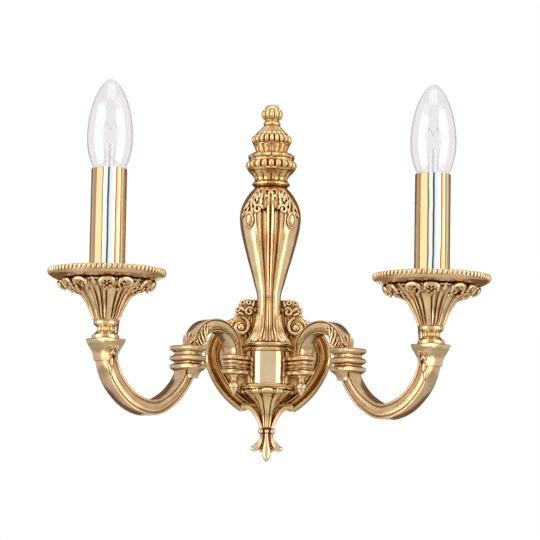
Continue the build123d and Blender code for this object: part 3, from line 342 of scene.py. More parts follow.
@dataclass(frozen=True)
class GlassFinish:
    """Clear glass with faint streaks from the blowing."""

    name: str
    slot: Slot
    tint: Colour
    roughness: float
    depth_tint: Colour  # colour that thick glass takes on
    density: float  # how soon it takes it on, to the metre

    def material(self) -> bpy.types.Material:
        """Returns the finish's material."""
        board = NodeBoard(self.name)
        streaks = board.noise(board.place(), 55.0, 1.0)
        tone = board.mix(board.spread(streaks, 0.3, 0.7, 0.0, 1.0), self.tint,
                         tuple(min(1.0, c * 1.02) for c in self.tint))
        rough = board.spread(streaks, 0.3, 0.8, 0.0, self.roughness)
        relief = board.bumps(streaks, 0.25, 0.25)
        board.skin(Base_Color=tone, Roughness=rough, Normal=relief, Transmission_Weight=1.0, IOR=1.45)
        body = board.add("ShaderNodeVolumeAbsorption")
        body.inputs["Color"].default_value = (*self.depth_tint, 1.0)
        body.inputs["Density"].default_value = self.density
        board.join(body.outputs[0], board.output.inputs["Volume"])
        return board.material


@dataclass(frozen=True)
class PlainFinish:
    """Plastic, steel or wire: one tone with fine variation, wear and grain."""

    name: str
    slot: Slot
    tone: Colour
    shade: Colour
    metal: float
    roughness: float
    grain: float
    scale: float = 300.0

    def material(self) -> bpy.types.Material:
        """Returns the finish's material."""
        board = NodeBoard(self.name)
        place = board.place()
        patches = board.noise(place, self.scale, 4.0)
        specks = board.noise(place, self.scale * 5.0, 2.0)
        tone = board.mix(board.spread(patches, 0.35, 0.7, 0.0, 1.0), self.tone, self.shade)
        rough = board.spread(patches, 0.25, 0.75, self.roughness * 0.8, self.roughness * 1.25)
        relief = board.bumps(specks, 0.4, self.grain)
        board.skin(Base_Color=tone, Metallic=self.metal, Roughness=rough, Normal=relief)
        return board.material


# Painted reflections on the candle sleeves: stops of light and dark stripes from one edge of the tube to
# the other.
PAINTED_REFLECTION_LINES: tuple[tuple[float, Colour], ...] = (
    (0.05, (0.56, 0.38, 0.20)), (0.12, (0.42, 0.26, 0.13)), (0.15, (0.45, 0.28, 0.155)),
    (0.325, (0.41, 0.255, 0.14)), (0.338, (0.04, 0.12, 0.07)), (0.368, (0.03, 0.10, 0.06)),
    (0.385, (0.96, 0.94, 0.88)), (0.475, (1.0, 0.99, 0.95)), (0.487, (0.03, 0.03, 0.07)),
    (0.523, (0.02, 0.03, 0.09)), (0.537, (0.60, 0.90, 0.92)), (0.60, (0.97, 0.99, 0.95)),
    (0.69, (0.98, 0.96, 0.90)), (0.702, (0.20, 0.035, 0.02)), (0.74, (0.24, 0.06, 0.03)),
    (0.757, (0.60, 0.36, 0.14)), (0.785, (0.66, 0.27, 0.07)), (0.815, (0.84, 0.74, 0.50)),
    (0.845, (0.36, 0.15, 0.05)), (0.87, (0.66, 0.46, 0.2)), (0.90, (0.86, 0.72, 0.46)),
    (0.93, (0.30, 0.13, 0.05)), (0.965, (0.60, 0.42, 0.2)))
# Each brass: bright and worn tones, then the patina-and-painted-shade colours for hollows and for the
# deepest hollows.
CAST_BRASS = BrassFinish("cast_brass", Slot.ANTIQUE_BRASS, (0.69, 0.52, 0.31), (0.54, 0.38, 0.195),
                         (0.39, 0.175, 0.048), (0.085, 0.032, 0.012), 0.15, 4.4, 0.93, 0.035)
RICH_BRASS = BrassFinish("rich_brass", Slot.ANTIQUE_BRASS, (0.66, 0.475, 0.245), (0.50, 0.325, 0.135),
                         (0.40, 0.175, 0.042), (0.085, 0.032, 0.012), 0.15, 6.5, 0.95, 0.035)
PLAIN_BRASS = BrassFinish("plain_brass", Slot.ANTIQUE_BRASS, (0.60, 0.44, 0.26), (0.48, 0.335, 0.18),
                          (0.38, 0.155, 0.042), (0.11, 0.038, 0.014), 0.18, 3.2, 0.90, 0.02)
MIRROR_BRASS = BrassFinish("mirror_brass", Slot.POLISHED_BRASS, (0.68, 0.53, 0.33), (0.63, 0.48, 0.28),
                           (0.42, 0.20, 0.06), (0.12, 0.05, 0.02), 0.045, 2.0, 0.70, 0.003)
PAINTED_REFLECTION_BRASS = BrassFinish("brass_with_painted_reflections", Slot.POLISHED_BRASS, (0.62, 0.45, 0.24), (0.57, 0.40, 0.20),
                          (0.42, 0.20, 0.06), (0.12, 0.05, 0.02), 0.05, 3.0, 0.60, 0.003, 13.4)
ZINC_STEEL = PlainFinish("zinc_steel", Slot.STEEL, (0.46, 0.46, 0.45), (0.36, 0.36, 0.35), 1.0, 0.34, 0.01)
CAP_METAL = PlainFinish("cap_metal", Slot.LAMP_CAP, (0.62, 0.60, 0.55), (0.52, 0.50, 0.45), 1.0, 0.28, 0.01)
WIRE_METAL = PlainFinish("wire_metal", Slot.FILAMENT_WIRE, (0.86, 0.85, 0.85), (0.78, 0.77, 0.77), 1.0, 0.3,
                         0.005)
DARK_PLASTIC = PlainFinish("dark_plastic", Slot.HOLDER_PLASTIC, (0.022, 0.019, 0.017), (0.035, 0.03, 0.027),
                           0.0, 0.45, 0.02)
PALE_PLASTIC = PlainFinish("pale_plastic", Slot.TERMINAL_PLASTIC, (0.72, 0.70, 0.62), (0.64, 0.61, 0.53),
                           0.0, 0.42, 0.02)
SHEATH = PlainFinish("gold_sheath", Slot.WIRE_INSULATION, (0.32, 0.19, 0.06), (0.26, 0.15, 0.045), 0.0,
                     0.38, 0.02)
LAMP_GLASS = GlassFinish("lamp_glass", Slot.CLEAR_GLASS, (0.955, 0.945, 0.95), 0.03, (0.58, 0.52, 0.545),
                         190.0)

Finish = BrassFinish | GlassFinish | PlainFinish


class PaintShop:
    """Keeps one material for each finish."""

    def __init__(self) -> None:
        """Starts with an empty shelf."""
        self.shelf: dict[str, bpy.types.Material] = {}

    def coat(self, piece: bpy.types.Object, finish: Finish) -> None:
        """Puts a finish on a piece or a CAD node.

        Args:
            piece: object to dress.
            finish: finish that it gets.
        """
        if finish.name not in self.shelf:
            self.shelf[finish.name] = finish.material()
        piece.data.materials.clear()
        piece.data.materials.append(self.shelf[finish.name])


PAINT = PaintShop()


# ---------------------------------------------------------------- the bench
def free_hands() -> None:
    """Leaves edit mode and lets go of everything."""
    if bpy.context.object is not None and bpy.context.object.mode != "OBJECT":
        bpy.ops.object.mode_set(mode="OBJECT")
    bpy.ops.object.select_all(action="DESELECT")


class Bench:
    """One mesh on the bench, shaped in edit mode. Sizes are millimetres."""

    def __init__(self, name: str, x: float = 0.0, y: float = 0.0) -> None:
        """Opens an empty mesh around an upright axis.

        Args:
            name: name of the piece.
            x: place of the axis.
            y: place of the axis.
        """
        free_hands()
        self.piece = bpy.data.objects.new(name, bpy.data.meshes.new(name))
        bpy.context.scene.collection.objects.link(self.piece)
        bpy.context.view_layer.objects.active = self.piece
        self.piece.select_set(True)
        bpy.ops.object.mode_set(mode="EDIT")
        bpy.ops.mesh.select_mode(type="VERT")
        self.x = x
        self.y = y
        self.z = 0.0
        self.wide = 1.0
        self.deep = 1.0

    def centre(self) -> tuple[float, float, float]:
        """Returns the middle of the present ring in metres."""
        return self.x * MM, self.y * MM, self.z * MM

    def ring(self, z: float, wide: float, deep: Optional[float] = None, sides: int = 64,
             turn: float = 0.0, closed: bool = True) -> "Bench":
        """Adds the first ring of a stack.

        Args:
            z: height.
            wide: half width.
            deep: half depth, the same as the width where it isn't given.
            sides: sides of the ring.
            turn: turn about the axis in degrees.
            closed: whether the ring starts as a face.

        Returns:
            The bench.
        """
        self.z = z
        self.wide = wide
        self.deep = wide if deep is None else deep
        bpy.ops.mesh.select_all(action="DESELECT")
        bpy.ops.mesh.primitive_circle_add(vertices=sides, radius=MM,
                                          fill_type="NGON" if closed else "NOTHING", location=self.centre(),
                                          rotation=(0, 0, math.radians(turn)))
        self.size(self.wide, self.deep, 1.0)
        return self

    def size(self, wide: float, deep: float, high: float) -> None:
        """Scales what is selected about the ring's middle."""
        bpy.ops.transform.resize(value=(wide, deep, high), center_override=self.centre())

    def rise(self, z: float, wide: float, deep: Optional[float] = None,
             y: Optional[float] = None) -> "Bench":
        """Extrudes the ring to the next height and size.

        Args:
            z: next height.
            wide: next half width.
            deep: next half depth, in the ring's proportion where it isn't given.
            y: next place of the axis.

        Returns:
            The bench.
        """
        deep = self.deep * wide / self.wide if deep is None else deep
        step = 0.0 if y is None else y - self.y
        move = (0.0, step * MM, (z - self.z) * MM)
        bpy.ops.mesh.extrude_region_move(TRANSFORM_OT_translate={"value": move})
        self.z = z
        self.y += step
        self.size(wide / self.wide, deep / self.deep, 1.0)
        self.wide = wide
        self.deep = deep
        return self

    def climb(self, rows: Iterable[Point]) -> "Bench":
        """Extrudes through rows of height, half width and, where given, half depth and axis."""
        for row in rows:
            self.rise(*row)
        return self

    def pick(self, test: Callable[[Vector], bool]) -> int:
        """Selects vertices by their place.

        Args:
            test: says of a place in millimetres whether it is meant.

        Returns:
            How many were selected.
        """
        bpy.ops.mesh.select_all(action="DESELECT")
        mesh = bmesh.from_edit_mesh(self.piece.data)
        hits = [vert for vert in mesh.verts if test(vert.co / MM)]
        for vert in hits:
            vert.select_set(True)
        mesh.select_flush(True)
        bmesh.update_edit_mesh(self.piece.data, loop_triangles=False, destructive=False)
        return len(hits)

    def pick_faces(self, test: Callable[[Vector, Vector], bool]) -> int:
        """Selects faces by their middle and normal.

        Args:
            test: says of a middle in millimetres and a normal whether the face is meant.

        Returns:
            How many were selected.
        """
        bpy.ops.mesh.select_mode(type="FACE")
        bpy.ops.mesh.select_all(action="DESELECT")
        mesh = bmesh.from_edit_mesh(self.piece.data)
        mesh.normal_update()
        hits = [face for face in mesh.faces if test(face.calc_center_median() / MM, face.normal)]
        for face in hits:
            face.select_set(True)
        bmesh.update_edit_mesh(self.piece.data, loop_triangles=False, destructive=False)
        return len(hits)

    def bearing(self, place: Vector) -> float:
        """Returns a place's angle about the axis in degrees: 0 in front, positive to the right."""
        return math.degrees(math.atan2(place.x - self.x, self.y - place.y))

    def flute(self, shares: Sequence[tuple[float, float]], low: float, high: float,
              least: float = 0.0) -> "Bench":
        """Draws upright lines of vertices in or out about the axis.

        Args:
            shares: angle from the front in degrees and the share of the radius that is kept.
            low: lower end.
            high: upper end.
            least: radius under which vertices stay.

        Returns:
            The bench.
        """
        middle = (self.x * MM, self.y * MM, 0.0)
        for angle, share in shares:
            def test(place: Vector) -> bool:
                """Whether a place lies on this line."""
                if not low <= place.z <= high or math.hypot(place.x - self.x, place.y - self.y) < least:
                    return False
                return abs((self.bearing(place) - angle + 180.0) % 360.0 - 180.0) < 0.4

            if abs(share - 1.0) > 1e-4 and self.pick(test):
                bpy.ops.transform.resize(value=(share, share, 1), center_override=middle)
        return self

    def lobes(self, count: int, sides: int, dip: float, low: float, high: float,
              start: float = 0.0, sharp: float = 1.0, least: float = 0.0) -> "Bench":
        """Draws valleys between round lobes.

        Args:
            count: lobes around the axis.
            sides: sides of the ring.
            dip: share of the radius lost in a valley.
            low: lower end.
            high: upper end.
            start: angle of a lobe's middle in degrees.
            sharp: above 1 for narrower valleys.
            least: radius under which vertices stay.

        Returns:
            The bench.
        """
        middle = (self.x * MM, self.y * MM, 0.0)
        shares = {}
        for i in range(sides):
            angle = 360.0 * i / sides
            phase = abs(math.cos(math.pi * count * (angle - start) / 360.0))
            shares[i] = round(1.0 - dip * (1.0 - phase ** (1.0 / sharp)), 5)
        for share in sorted(set(shares.values())):
            lines = {i for i in shares if shares[i] == share}

            def test(place: Vector) -> bool:
                """Whether a place lies on one of these lines."""
                if not low <= place.z <= high or math.hypot(place.x - self.x, place.y - self.y) < least:
                    return False
                return round(self.bearing(place) * sides / 360.0) % sides in lines

            if share < 0.9999 and self.pick(test):
                bpy.ops.transform.resize(value=(share, share, 1), center_override=middle)
        return self

    def loft(self, rings: Sequence[Sequence[Point]], closed: bool = True) -> "Bench":
        """Extrudes a ring of points through further rings of as many points.

        Args:
            rings: rings of points in order.
            closed: whether the two ends are faces.

        Returns:
            The bench.
        """
        count = len(rings[0])
        bpy.ops.mesh.select_all(action="DESELECT")
        bpy.ops.mesh.primitive_circle_add(vertices=count, radius=MM,
                                          fill_type="NGON" if closed else "NOTHING")
        for number, ring in enumerate(rings):
            if number:
                bpy.ops.mesh.extrude_region_move(TRANSFORM_OT_translate={"value": (0, 0, 0)})
            mesh = bmesh.from_edit_mesh(self.piece.data)
            chosen = [vert for vert in mesh.verts if vert.select]
            if number == 0:
                chosen.sort(key=lambda vert: math.atan2(vert.co.y, vert.co.x))
            else:
                places = KDTree(count)
                for i, point in enumerate(rings[number - 1]):
                    places.insert(Vector(point) * MM, i)
                places.balance()
                chosen.sort(key=lambda vert: places.find(vert.co)[1])
            for vert, point in zip(chosen, ring):
                vert.co = Vector(point) * MM
            bmesh.update_edit_mesh(self.piece.data, loop_triangles=False, destructive=False)
        return self

    def cut(self, point: Point, normal: Point, fill: bool) -> "Bench":
        """Cuts off everything past a plane.

        Args:
            point: point of the plane.
            normal: side of the plane that falls off.
            fill: whether the cut is closed.

        Returns:
            The bench.
        """
        bpy.ops.mesh.select_all(action="SELECT")
        bpy.ops.mesh.bisect(plane_co=Vector(point) * MM, plane_no=normal, use_fill=fill, clear_outer=True)
        return self

    def done(self, finish: Finish, body: Body, replaces: Sequence[str] = (), crease: float = 38.0,
             modifiers: Sequence[tuple[str, dict[str, object]]] = ()) -> bpy.types.Object:
        """Takes the piece off the bench, finished.

        Args:
            finish: finish of the piece.
            body: body that it rides on.
            replaces: CAD nodes that it stands for.
            crease: angle in degrees above which an edge stays sharp.
            modifiers: types and settings of modifiers, applied in order.

        Returns:
            The piece.
        """
        bpy.ops.mesh.select_mode(type="VERT")
        bpy.ops.mesh.select_all(action="SELECT")
        bpy.ops.mesh.remove_doubles(threshold=0.00001)
        bpy.ops.mesh.normals_make_consistent(inside=False)
        free_hands()
        return finished(self.piece, finish, body, replaces, crease, modifiers)


def finished(piece: bpy.types.Object, finish: Finish, body: Body, replaces: Sequence[str] = (),
             crease: float = 38.0,
             modifiers: Sequence[tuple[str, dict[str, object]]] = ()) -> bpy.types.Object:
    """Applies modifiers, shades, dresses and mounts a piece.

    Args:
        piece: mesh object.
        finish: finish of the piece.
        body: body that it rides on.
        replaces: CAD nodes that it stands for.
        crease: angle in degrees above which an edge stays sharp.
        modifiers: types and settings of modifiers, applied in order.

    Returns:
        The piece.
    """
    free_hands()
    bpy.context.view_layer.objects.active = piece
    piece.select_set(True)
    for kind, settings in modifiers:
        step = piece.modifiers.new(kind.title(), kind)
        for key, value in settings.items():
            setattr(step, key, value)
        bpy.ops.object.modifier_apply(modifier=step.name)
    bpy.ops.object.transform_apply(location=True, rotation=True, scale=True)
    bpy.ops.object.shade_smooth_by_angle(angle=math.radians(crease))
    PAINT.coat(piece, finish)
    piece.select_set(False)
    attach(piece, body.value)
    if replaces:
        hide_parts(*replaces)
    LOG.info("%s: %d faces, %s", piece.name, len(piece.data.polygons), finish.name)
    return piece


def stamped(pattern: bpy.types.Object, places: Sequence[Matrix], name: str) -> bpy.types.Object:
    """Copies a small pattern to many places and joins the copies.

    Args:
        pattern: mesh object, which is used up.
        places: where each copy goes, in metres.
        name: name of the joined piece.

    Returns:
        The joined piece.
    """
    free_hands()
    copies = []
    for place in places:
        copy = pattern.copy()
        copy.data = pattern.data.copy()
        copy.data.transform(place)
        if place.determinant() < 0:
            copy.data.flip_normals()
        bpy.context.scene.collection.objects.link(copy)
        copies.append(copy)
    bpy.data.objects.remove(pattern)
    for copy in copies:
        copy.select_set(True)
    bpy.context.view_layer.objects.active = copies[0]
    if len(copies) > 1:
        bpy.ops.object.join()
    copies[0].name = name
    copies[0].data.name = name
    free_hands()
    return copies[0]


def joined(pieces: Sequence[bpy.types.Object], name: str) -> bpy.types.Object:
    """Joins mesh objects.

    Args:
        pieces: objects, the first of which is kept.
        name: name of the joined piece.

    Returns:
        The joined piece.
    """
    free_hands()
    for piece in pieces:
        piece.select_set(True)
    bpy.context.view_layer.objects.active = pieces[0]
    bpy.ops.object.join()
    pieces[0].name = name
    pieces[0].data.name = name
    free_hands()
    return pieces[0]


def blob(name: str, wide: float, high: float, deep: float, waist: float = 1.0, tip: float = 1.0,
         sides: int = 12) -> bpy.types.Object:
    """Makes a bead, petal or drop: an egg that lies on the X-Z plane and stands out towards -Y.

    Args:
        name: name of the object.
        wide: half width.
        high: half height.
        deep: half depth.
        waist: share of the width kept in the middle.
        tip: share of the width kept in the upper third.
        sides: sides around and half as many rings.

    Returns:
        The object, off the bench.
    """
    bench = Bench(name)
    bpy.ops.mesh.primitive_uv_sphere_add(segments=sides, ring_count=max(6, sides // 2), radius=MM)
    bpy.ops.transform.resize(value=(wide, deep, high))
    if tip != 1.0 and bench.pick(lambda place: place.z > 0.3 * high):
        bpy.ops.transform.resize(value=(tip, 1, 1), center_override=(0, 0, 0))
    if waist != 1.0 and bench.pick(lambda place: abs(place.z) < 0.2 * high):
        bpy.ops.transform.resize(value=(waist, 1, 1), center_override=(0, 0, 0))
    bpy.ops.mesh.select_all(action="SELECT")
    bpy.ops.mesh.normals_make_consistent(inside=False)
    free_hands()
    return bench.piece


def curl(name: str, radius: float, rod: float, turns: float = 1.25, rise: float = 0.0,
         sides: int = 8) -> bpy.types.Object:
    """Makes a rolled scroll on the X-Z plane: a rod spun about -Y that winds in towards its ball.

    Args:
        name: name of the object.
        radius: radius of the outer turn.
        rod: half thickness of the rod.
        turns: turns of the roll.
        rise: how far the middle stands out.
        sides: sides of the rod.

    Returns:
        The object, off the bench.
    """
    bench = Bench(name)
    bpy.ops.mesh.primitive_circle_add(vertices=sides, radius=rod * MM, fill_type="NGON",
                                      location=(radius * MM, 0, 0))
    steps = max(8, round(turns * 14))
    near = radius
    for step in range(steps):
        share = (step + 1) / steps
        angle = -2 * math.pi * turns * share
        reach = radius * (1.0 - 0.72 * share)
        old = -2 * math.pi * turns * step / steps
        x0, z0 = near * math.cos(old), -near * math.sin(old)
        x1, z1 = reach * math.cos(angle), -reach * math.sin(angle)
        move = ((x1 - x0) * MM, -rise / steps * MM, (z1 - z0) * MM)
        bpy.ops.mesh.extrude_region_move(TRANSFORM_OT_translate={"value": move})
        middle = (x1 * MM, -rise * share * MM, z1 * MM)
        bpy.ops.transform.rotate(value=-(angle - old), orient_axis="Y", center_override=middle)
        near = reach
    bpy.ops.mesh.select_all(action="SELECT")
    bpy.ops.mesh.normals_make_consistent(inside=False)
    free_hands()
    return bench.piece


def at(x: float, y: float, z: float, yaw: float = 0.0, tilt: float = 0.0, roll: float = 0.0,
       size: float = 1.0, flip: bool = False) -> Matrix:
    """Returns a place: rolled in its own X-Z plane, tilted back, turned about Z, then moved.

    Args:
        x: place in millimetres.
        y: place in millimetres.
        z: place in millimetres.
        yaw: turn about Z in degrees.
        tilt: turn about X in degrees, positive leans the face down.
        roll: turn about Y in degrees.
        size: scale.
        flip: whether it is mirrored in X first.
    """
    turn = Matrix.Rotation(math.radians(yaw), 4, "Z") @ Matrix.Rotation(math.radians(tilt), 4, "X")
    turn = turn @ Matrix.Rotation(math.radians(roll), 4, "Y")
    mirror = Matrix.Diagonal((-size if flip else size, size, size, 1.0))
    return Matrix.Translation((x * MM, y * MM, z * MM)) @ turn @ mirror


def around(x: float, y: float, reach: float, z: float, angle: float, tilt: float = 0.0, roll: float = 0.0,
           size: float = 1.0, flip: bool = False) -> Matrix:
    """Returns a place on a turned surface.

    Args:
        x: axis in millimetres.
        y: axis in millimetres.
        reach: distance from the axis.
        z: height.
        angle: angle from the front in degrees, positive to the right.
        tilt: lean of the face downwards in degrees.
        roll: turn in the face in degrees.
        size: scale.
        flip: whether it is mirrored first.
    """
    turn = math.radians(angle)
    return at(x + reach * math.sin(turn), y - reach * math.cos(turn), z, angle, tilt, roll, size, flip)


# ---------------------------------------------------------------- candles
@dataclass
class Candle:
    """One candle: drip pan with its beads, polished sleeve and glass lamp."""

    hand: Hand
    reach_x: float = 121.03
    y: float = -133.53
    pan_under: float = 51.2
    pan_floor: float = 52.5
    bead_count: int = 72
    bead_reach: float = 43.1
    bead_z: float = 59.4
    sleeve_radius: float = 13.4
    sleeve_bore: float = 12.5
    sleeve_top: float = 137.5
    glass_rows: tuple[tuple[float, float], ...] = (
        (131.6, 6.4), (134.0, 9.2), (137.5, 12.05), (140.4, 13.1), (142.5, 14.0), (146.9, 15.4),
        (151.4, 16.4), (155.6, 17.05), (161.1, 17.35), (164.4, 17.25), (169.8, 16.9), (175.3, 16.2),
        (180.7, 15.1), (186.2, 13.7), (191.7, 11.8), (197.1, 9.2), (201.0, 6.6), (203.8, 4.2), (205.4, 2.2),
        (205.9, 0.7))
    glass_wall: float = 0.6

    @property
    def x(self) -> float:
        """Place of the candle's axis."""
        return self.hand.value * self.reach_x

    def build(self) -> list[bpy.types.Object]:
        """Builds every piece of the candle."""
        return [self.pan(), self.beads(), self.sleeve(), self.glass()]

    def pan(self) -> bpy.types.Object:
        """Turns the dished pan and hollows it."""
        bench = Bench("pan_dish_" + self.hand.word, self.x, self.y)
        bench.ring(self.pan_under, 30.0, sides=96)
        bench.climb([(51.5, 32.5), (52.4, 34.4), (53.5, 36.4), (54.6, 38.6), (55.4, 40.4), (56.0, 41.6),
                     (56.7, 42.4), (58.0, 42.8), (60.0, 43.2), (61.0, 43.0), (61.6, 42.0), (61.5, 41.2),
                     (60.6, 40.4), (57.2, 37.4), (54.4, 34.4), (52.9, 31.4), (self.pan_floor, 29.0),
                     (self.pan_floor, 5.3), (52.2, 5.2)])
        return bench.done(PLAIN_BRASS, Body.FIXTURE, ["drip_pan_" + self.hand.word])

    def beads(self) -> bpy.types.Object:
        """Sets slanted beads round the pan's rim."""
        bead = blob("bead", 1.62, 2.5, 1.3, sides=10)
        places = [around(self.x, self.y, self.bead_reach, self.bead_z, 360.0 * i / self.bead_count, 6.0,
                         20.0)
                  for i in range(self.bead_count)]
        piece = stamped(bead, places, "pan_beads_" + self.hand.word)
        return finished(piece, CAST_BRASS, Body.FIXTURE, crease=60.0)

    def sleeve(self) -> bpy.types.Object:
        """Draws the polished tube with softened ends."""
        r, bore, top = self.sleeve_radius, self.sleeve_bore, self.sleeve_top
        bench = Bench("sleeve_tube_" + self.hand.word, self.x, self.y)
        bench.ring(self.pan_floor, r - 0.2, sides=112, closed=False)
        bench.climb([(self.pan_floor + 0.2, r), (80.0, r), (110.0, r), (top - 0.35, r),
                     (top - 0.1, r - 0.1), (top, r - 0.35), (top - 0.1, bore + 0.1), (top - 0.4, bore),
                     (95.0, bore), (self.pan_floor, bore)])
        bench.pick(lambda place: place.z < self.pan_floor + 0.01)
        bpy.ops.mesh.bridge_edge_loops()
        return bench.done(PAINTED_REFLECTION_BRASS, self.hand.sleeve, ["candle_sleeve_" + self.hand.word])

    def glass(self) -> bpy.types.Object:
        """Blows the candle-shaped glass and gives it its wall."""
        rows = self.glass_rows
        bench = Bench("lamp_bulb_" + self.hand.word, self.x, self.y)
        bench.ring(*rows[0], sides=64, closed=False)
        bench.climb(rows[1:])
        bpy.ops.mesh.edge_face_add()
        wall = ("SOLIDIFY", {"thickness": self.glass_wall * MM, "offset": -1.0, "use_even_offset": True})
        return bench.done(LAMP_GLASS, self.hand.lamp, ["bulb_glass_" + self.hand.word], 60.0, [wall])


@dataclass
class Husk:
    """Leaf husk between arm and pan: foot, necked collar, ribbed bell and its scrolls and flowers."""

    hand: Hand
    reach_x: float = 121.03
    y: float = -133.53
    bundle: float = -15.0  # angle of a bundle of ribs on the left husk
    sides: int = 144
    foot_rows: tuple[tuple[float, float], ...] = (
        (10.0, 10.1), (11.0, 10.3), (12.6, 9.9), (13.1, 9.2), (13.6, 8.6), (14.6, 7.6), (15.8, 6.9),
        (17.1, 6.5), (18.2, 6.7), (18.9, 7.2), (19.6, 8.1), (20.3, 8.9), (21.4, 9.25), (22.6, 9.2),
        (23.2, 8.8), (23.6, 9.0))
    bell_rows: tuple[tuple[float, float], ...] = (
        (24.1, 9.5), (26.4, 10.5), (29.6, 11.7), (33.1, 13.1), (36.5, 14.8), (39.7, 16.6), (42.2, 18.5),
        (44.4, 20.8), (46.2, 23.4), (47.6, 26.4), (48.8, 29.8), (50.0, 32.8), (51.0, 34.6), (51.8, 35.4))
    scroll_reach: float = 34.0
    scroll_z: float = 49.3

    def build(self) -> list[bpy.types.Object]:
        """Builds the husk."""
        x = self.hand.value * self.reach_x
        return [self.bell(x), self.scrolls(x)]

    def bell(self, x: float) -> bpy.types.Object:
        """Turns the husk, flutes its bell and cuts the beaded band of its neck."""
        bench = Bench("husk_leaves_" + self.hand.word, x, self.y)
        bench.ring(*self.foot_rows[0], sides=self.sides)
        bench.climb(self.foot_rows[1:]).climb(self.bell_rows)
        bench.climb([(52.0, 34.6), (51.2, 31.0), (48.6, 24.0), (44.0, 15.0), (38.0, 8.0), (34.0, 5.6),
                     (34.0, 5.3)])
        shares = []
        for k in range(6):
            middle = -self.hand.value * self.bundle + 60.0 * k
            for offset, share in self.rib_shares():
                shares.append((middle + offset, share))
        bench.flute(shares, 24.0, 50.5, 9.0)
        bench.lobes(12, self.sides, 0.10, 14.4, 19.0, 15.0, 1.5)
        return bench.done(CAST_BRASS, Body.FIXTURE, ["husk_" + self.hand.word], 32.0)

    @staticmethod
    def rib_shares() -> list[tuple[float, float]]:
        """Returns the shares of the radius kept across a bundle of three ribs and half a panel each way."""
        half = [(0.0, 1.03), (2.5, 1.015), (5.0, 0.915), (7.5, 0.925), (10.0, 1.04), (12.5, 1.06),
                (15.0, 1.02), (17.5, 0.90), (20.0, 0.945), (22.5, 0.962), (25.0, 0.966), (27.5, 0.968),
                (30.0, 0.968)]
        return half + [(-angle, share) for angle, share in half[1:-1]]

    def scrolls(self, x: float) -> bpy.types.Object:
        """Sets the rolled tops of the ribs, the flowers under them and the leaf tips between."""
        arches = stamped(self.arch(), [place for place in self.arch_places(x)], "arches")
        tip = blob("tip", 2.6, 4.6, 1.3, tip=0.6)
        tips = []
        petals = []
        for k in range(6):
            middle = -self.hand.value * self.bundle + 60.0 * k
            tips.append(around(x, self.y, self.radius(49.6) + 0.8, 49.6, middle, 52.0))
            for side in (-1, 1):
                angle = middle + 30.0 + side * 12.0
                for along, z, lean in ((-2.8, 49.6, -40), (2.8, 49.6, 40), (0.0, 50.4, 180), (0.0, 48.6, 0),
                                       (-2.0, 47.4, -30), (2.2, 47.2, 30), (0.2, 46.0, 10),
                                       (-1.0, 44.8, -20)):
                    petals.append(around(x, self.y, self.radius(z) + 1.5, z,
                                         angle + math.degrees(along / self.radius(z)), 48.0, lean))
        leaves = stamped(tip, tips, "tips")
        flowers = stamped(blob("petal", 1.35, 1.85, 1.5, tip=0.8, sides=8), petals, "flowers")
        piece = joined([arches, leaves, flowers], "husk_scrolls_" + self.hand.word)
        return finished(piece, CAST_BRASS, Body.FIXTURE, crease=50.0)

    def radius(self, z: float) -> float:
        """Returns the bell's radius at a height."""
        for (low, near), (high, far) in zip(self.bell_rows, self.bell_rows[1:]):
            if z <= high:
                return near + (far - near) * (z - low) / (high - low)
        return self.bell_rows[-1][1]

    def arch(self) -> bpy.types.Object:
        """Bends one rolled top: an arched rod with thick shoulders."""
        bench = Bench("arch")
        rod, wide, high = 1.85, 4.9, 2.8
        bpy.ops.mesh.primitive_circle_add(vertices=10, radius=rod * MM, fill_type="NGON",
                                          location=(wide * MM, 0, -2.8 * MM))
        bpy.ops.transform.resize(value=(0.55, 0.55, 1), center_override=(wide * MM, 0, -2.8 * MM))
        turns = [math.radians(15 * i) for i in range(0, 13)]
        path = [(wide, -2.8)] + [(wide * math.cos(a), high * math.sin(a)) for a in turns]
        path.append((-wide, -2.8))
        heading = 0.0
        for i in range(1, len(path)):
            (x0, z0), (x1, z1) = path[i - 1], path[i]
            move = ((x1 - x0) * MM, 0, (z1 - z0) * MM)
            bpy.ops.mesh.extrude_region_move(TRANSFORM_OT_translate={"value": move})
            middle = (x1 * MM, 0, z1 * MM)
            ahead = path[min(i + 1, len(path) - 1)]
            course = math.atan2(-(ahead[0] - x0), ahead[1] - z0)
            bpy.ops.transform.rotate(value=course - heading, orient_axis="Y", center_override=middle)
            heading = course
            swell = {1: 1.6, 2: 1.1, 13: 0.9, 14: 0.62}.get(i, 1.0)
            bpy.ops.transform.resize(value=(swell, swell, swell), center_override=middle)
        free_hands()
        return bench.piece

    def arch_places(self, x: float) -> Iterable[Matrix]:
        """Yields the places of the twelve rolled tops."""
        for k in range(6):
            middle = -self.hand.value * self.bundle + 60.0 * k + 30.0
            for side in (-1, 1):
                yield around(x, self.y, self.scroll_reach, self.scroll_z, middle + side * 12.2, 32.0,
                             side * 6.0)


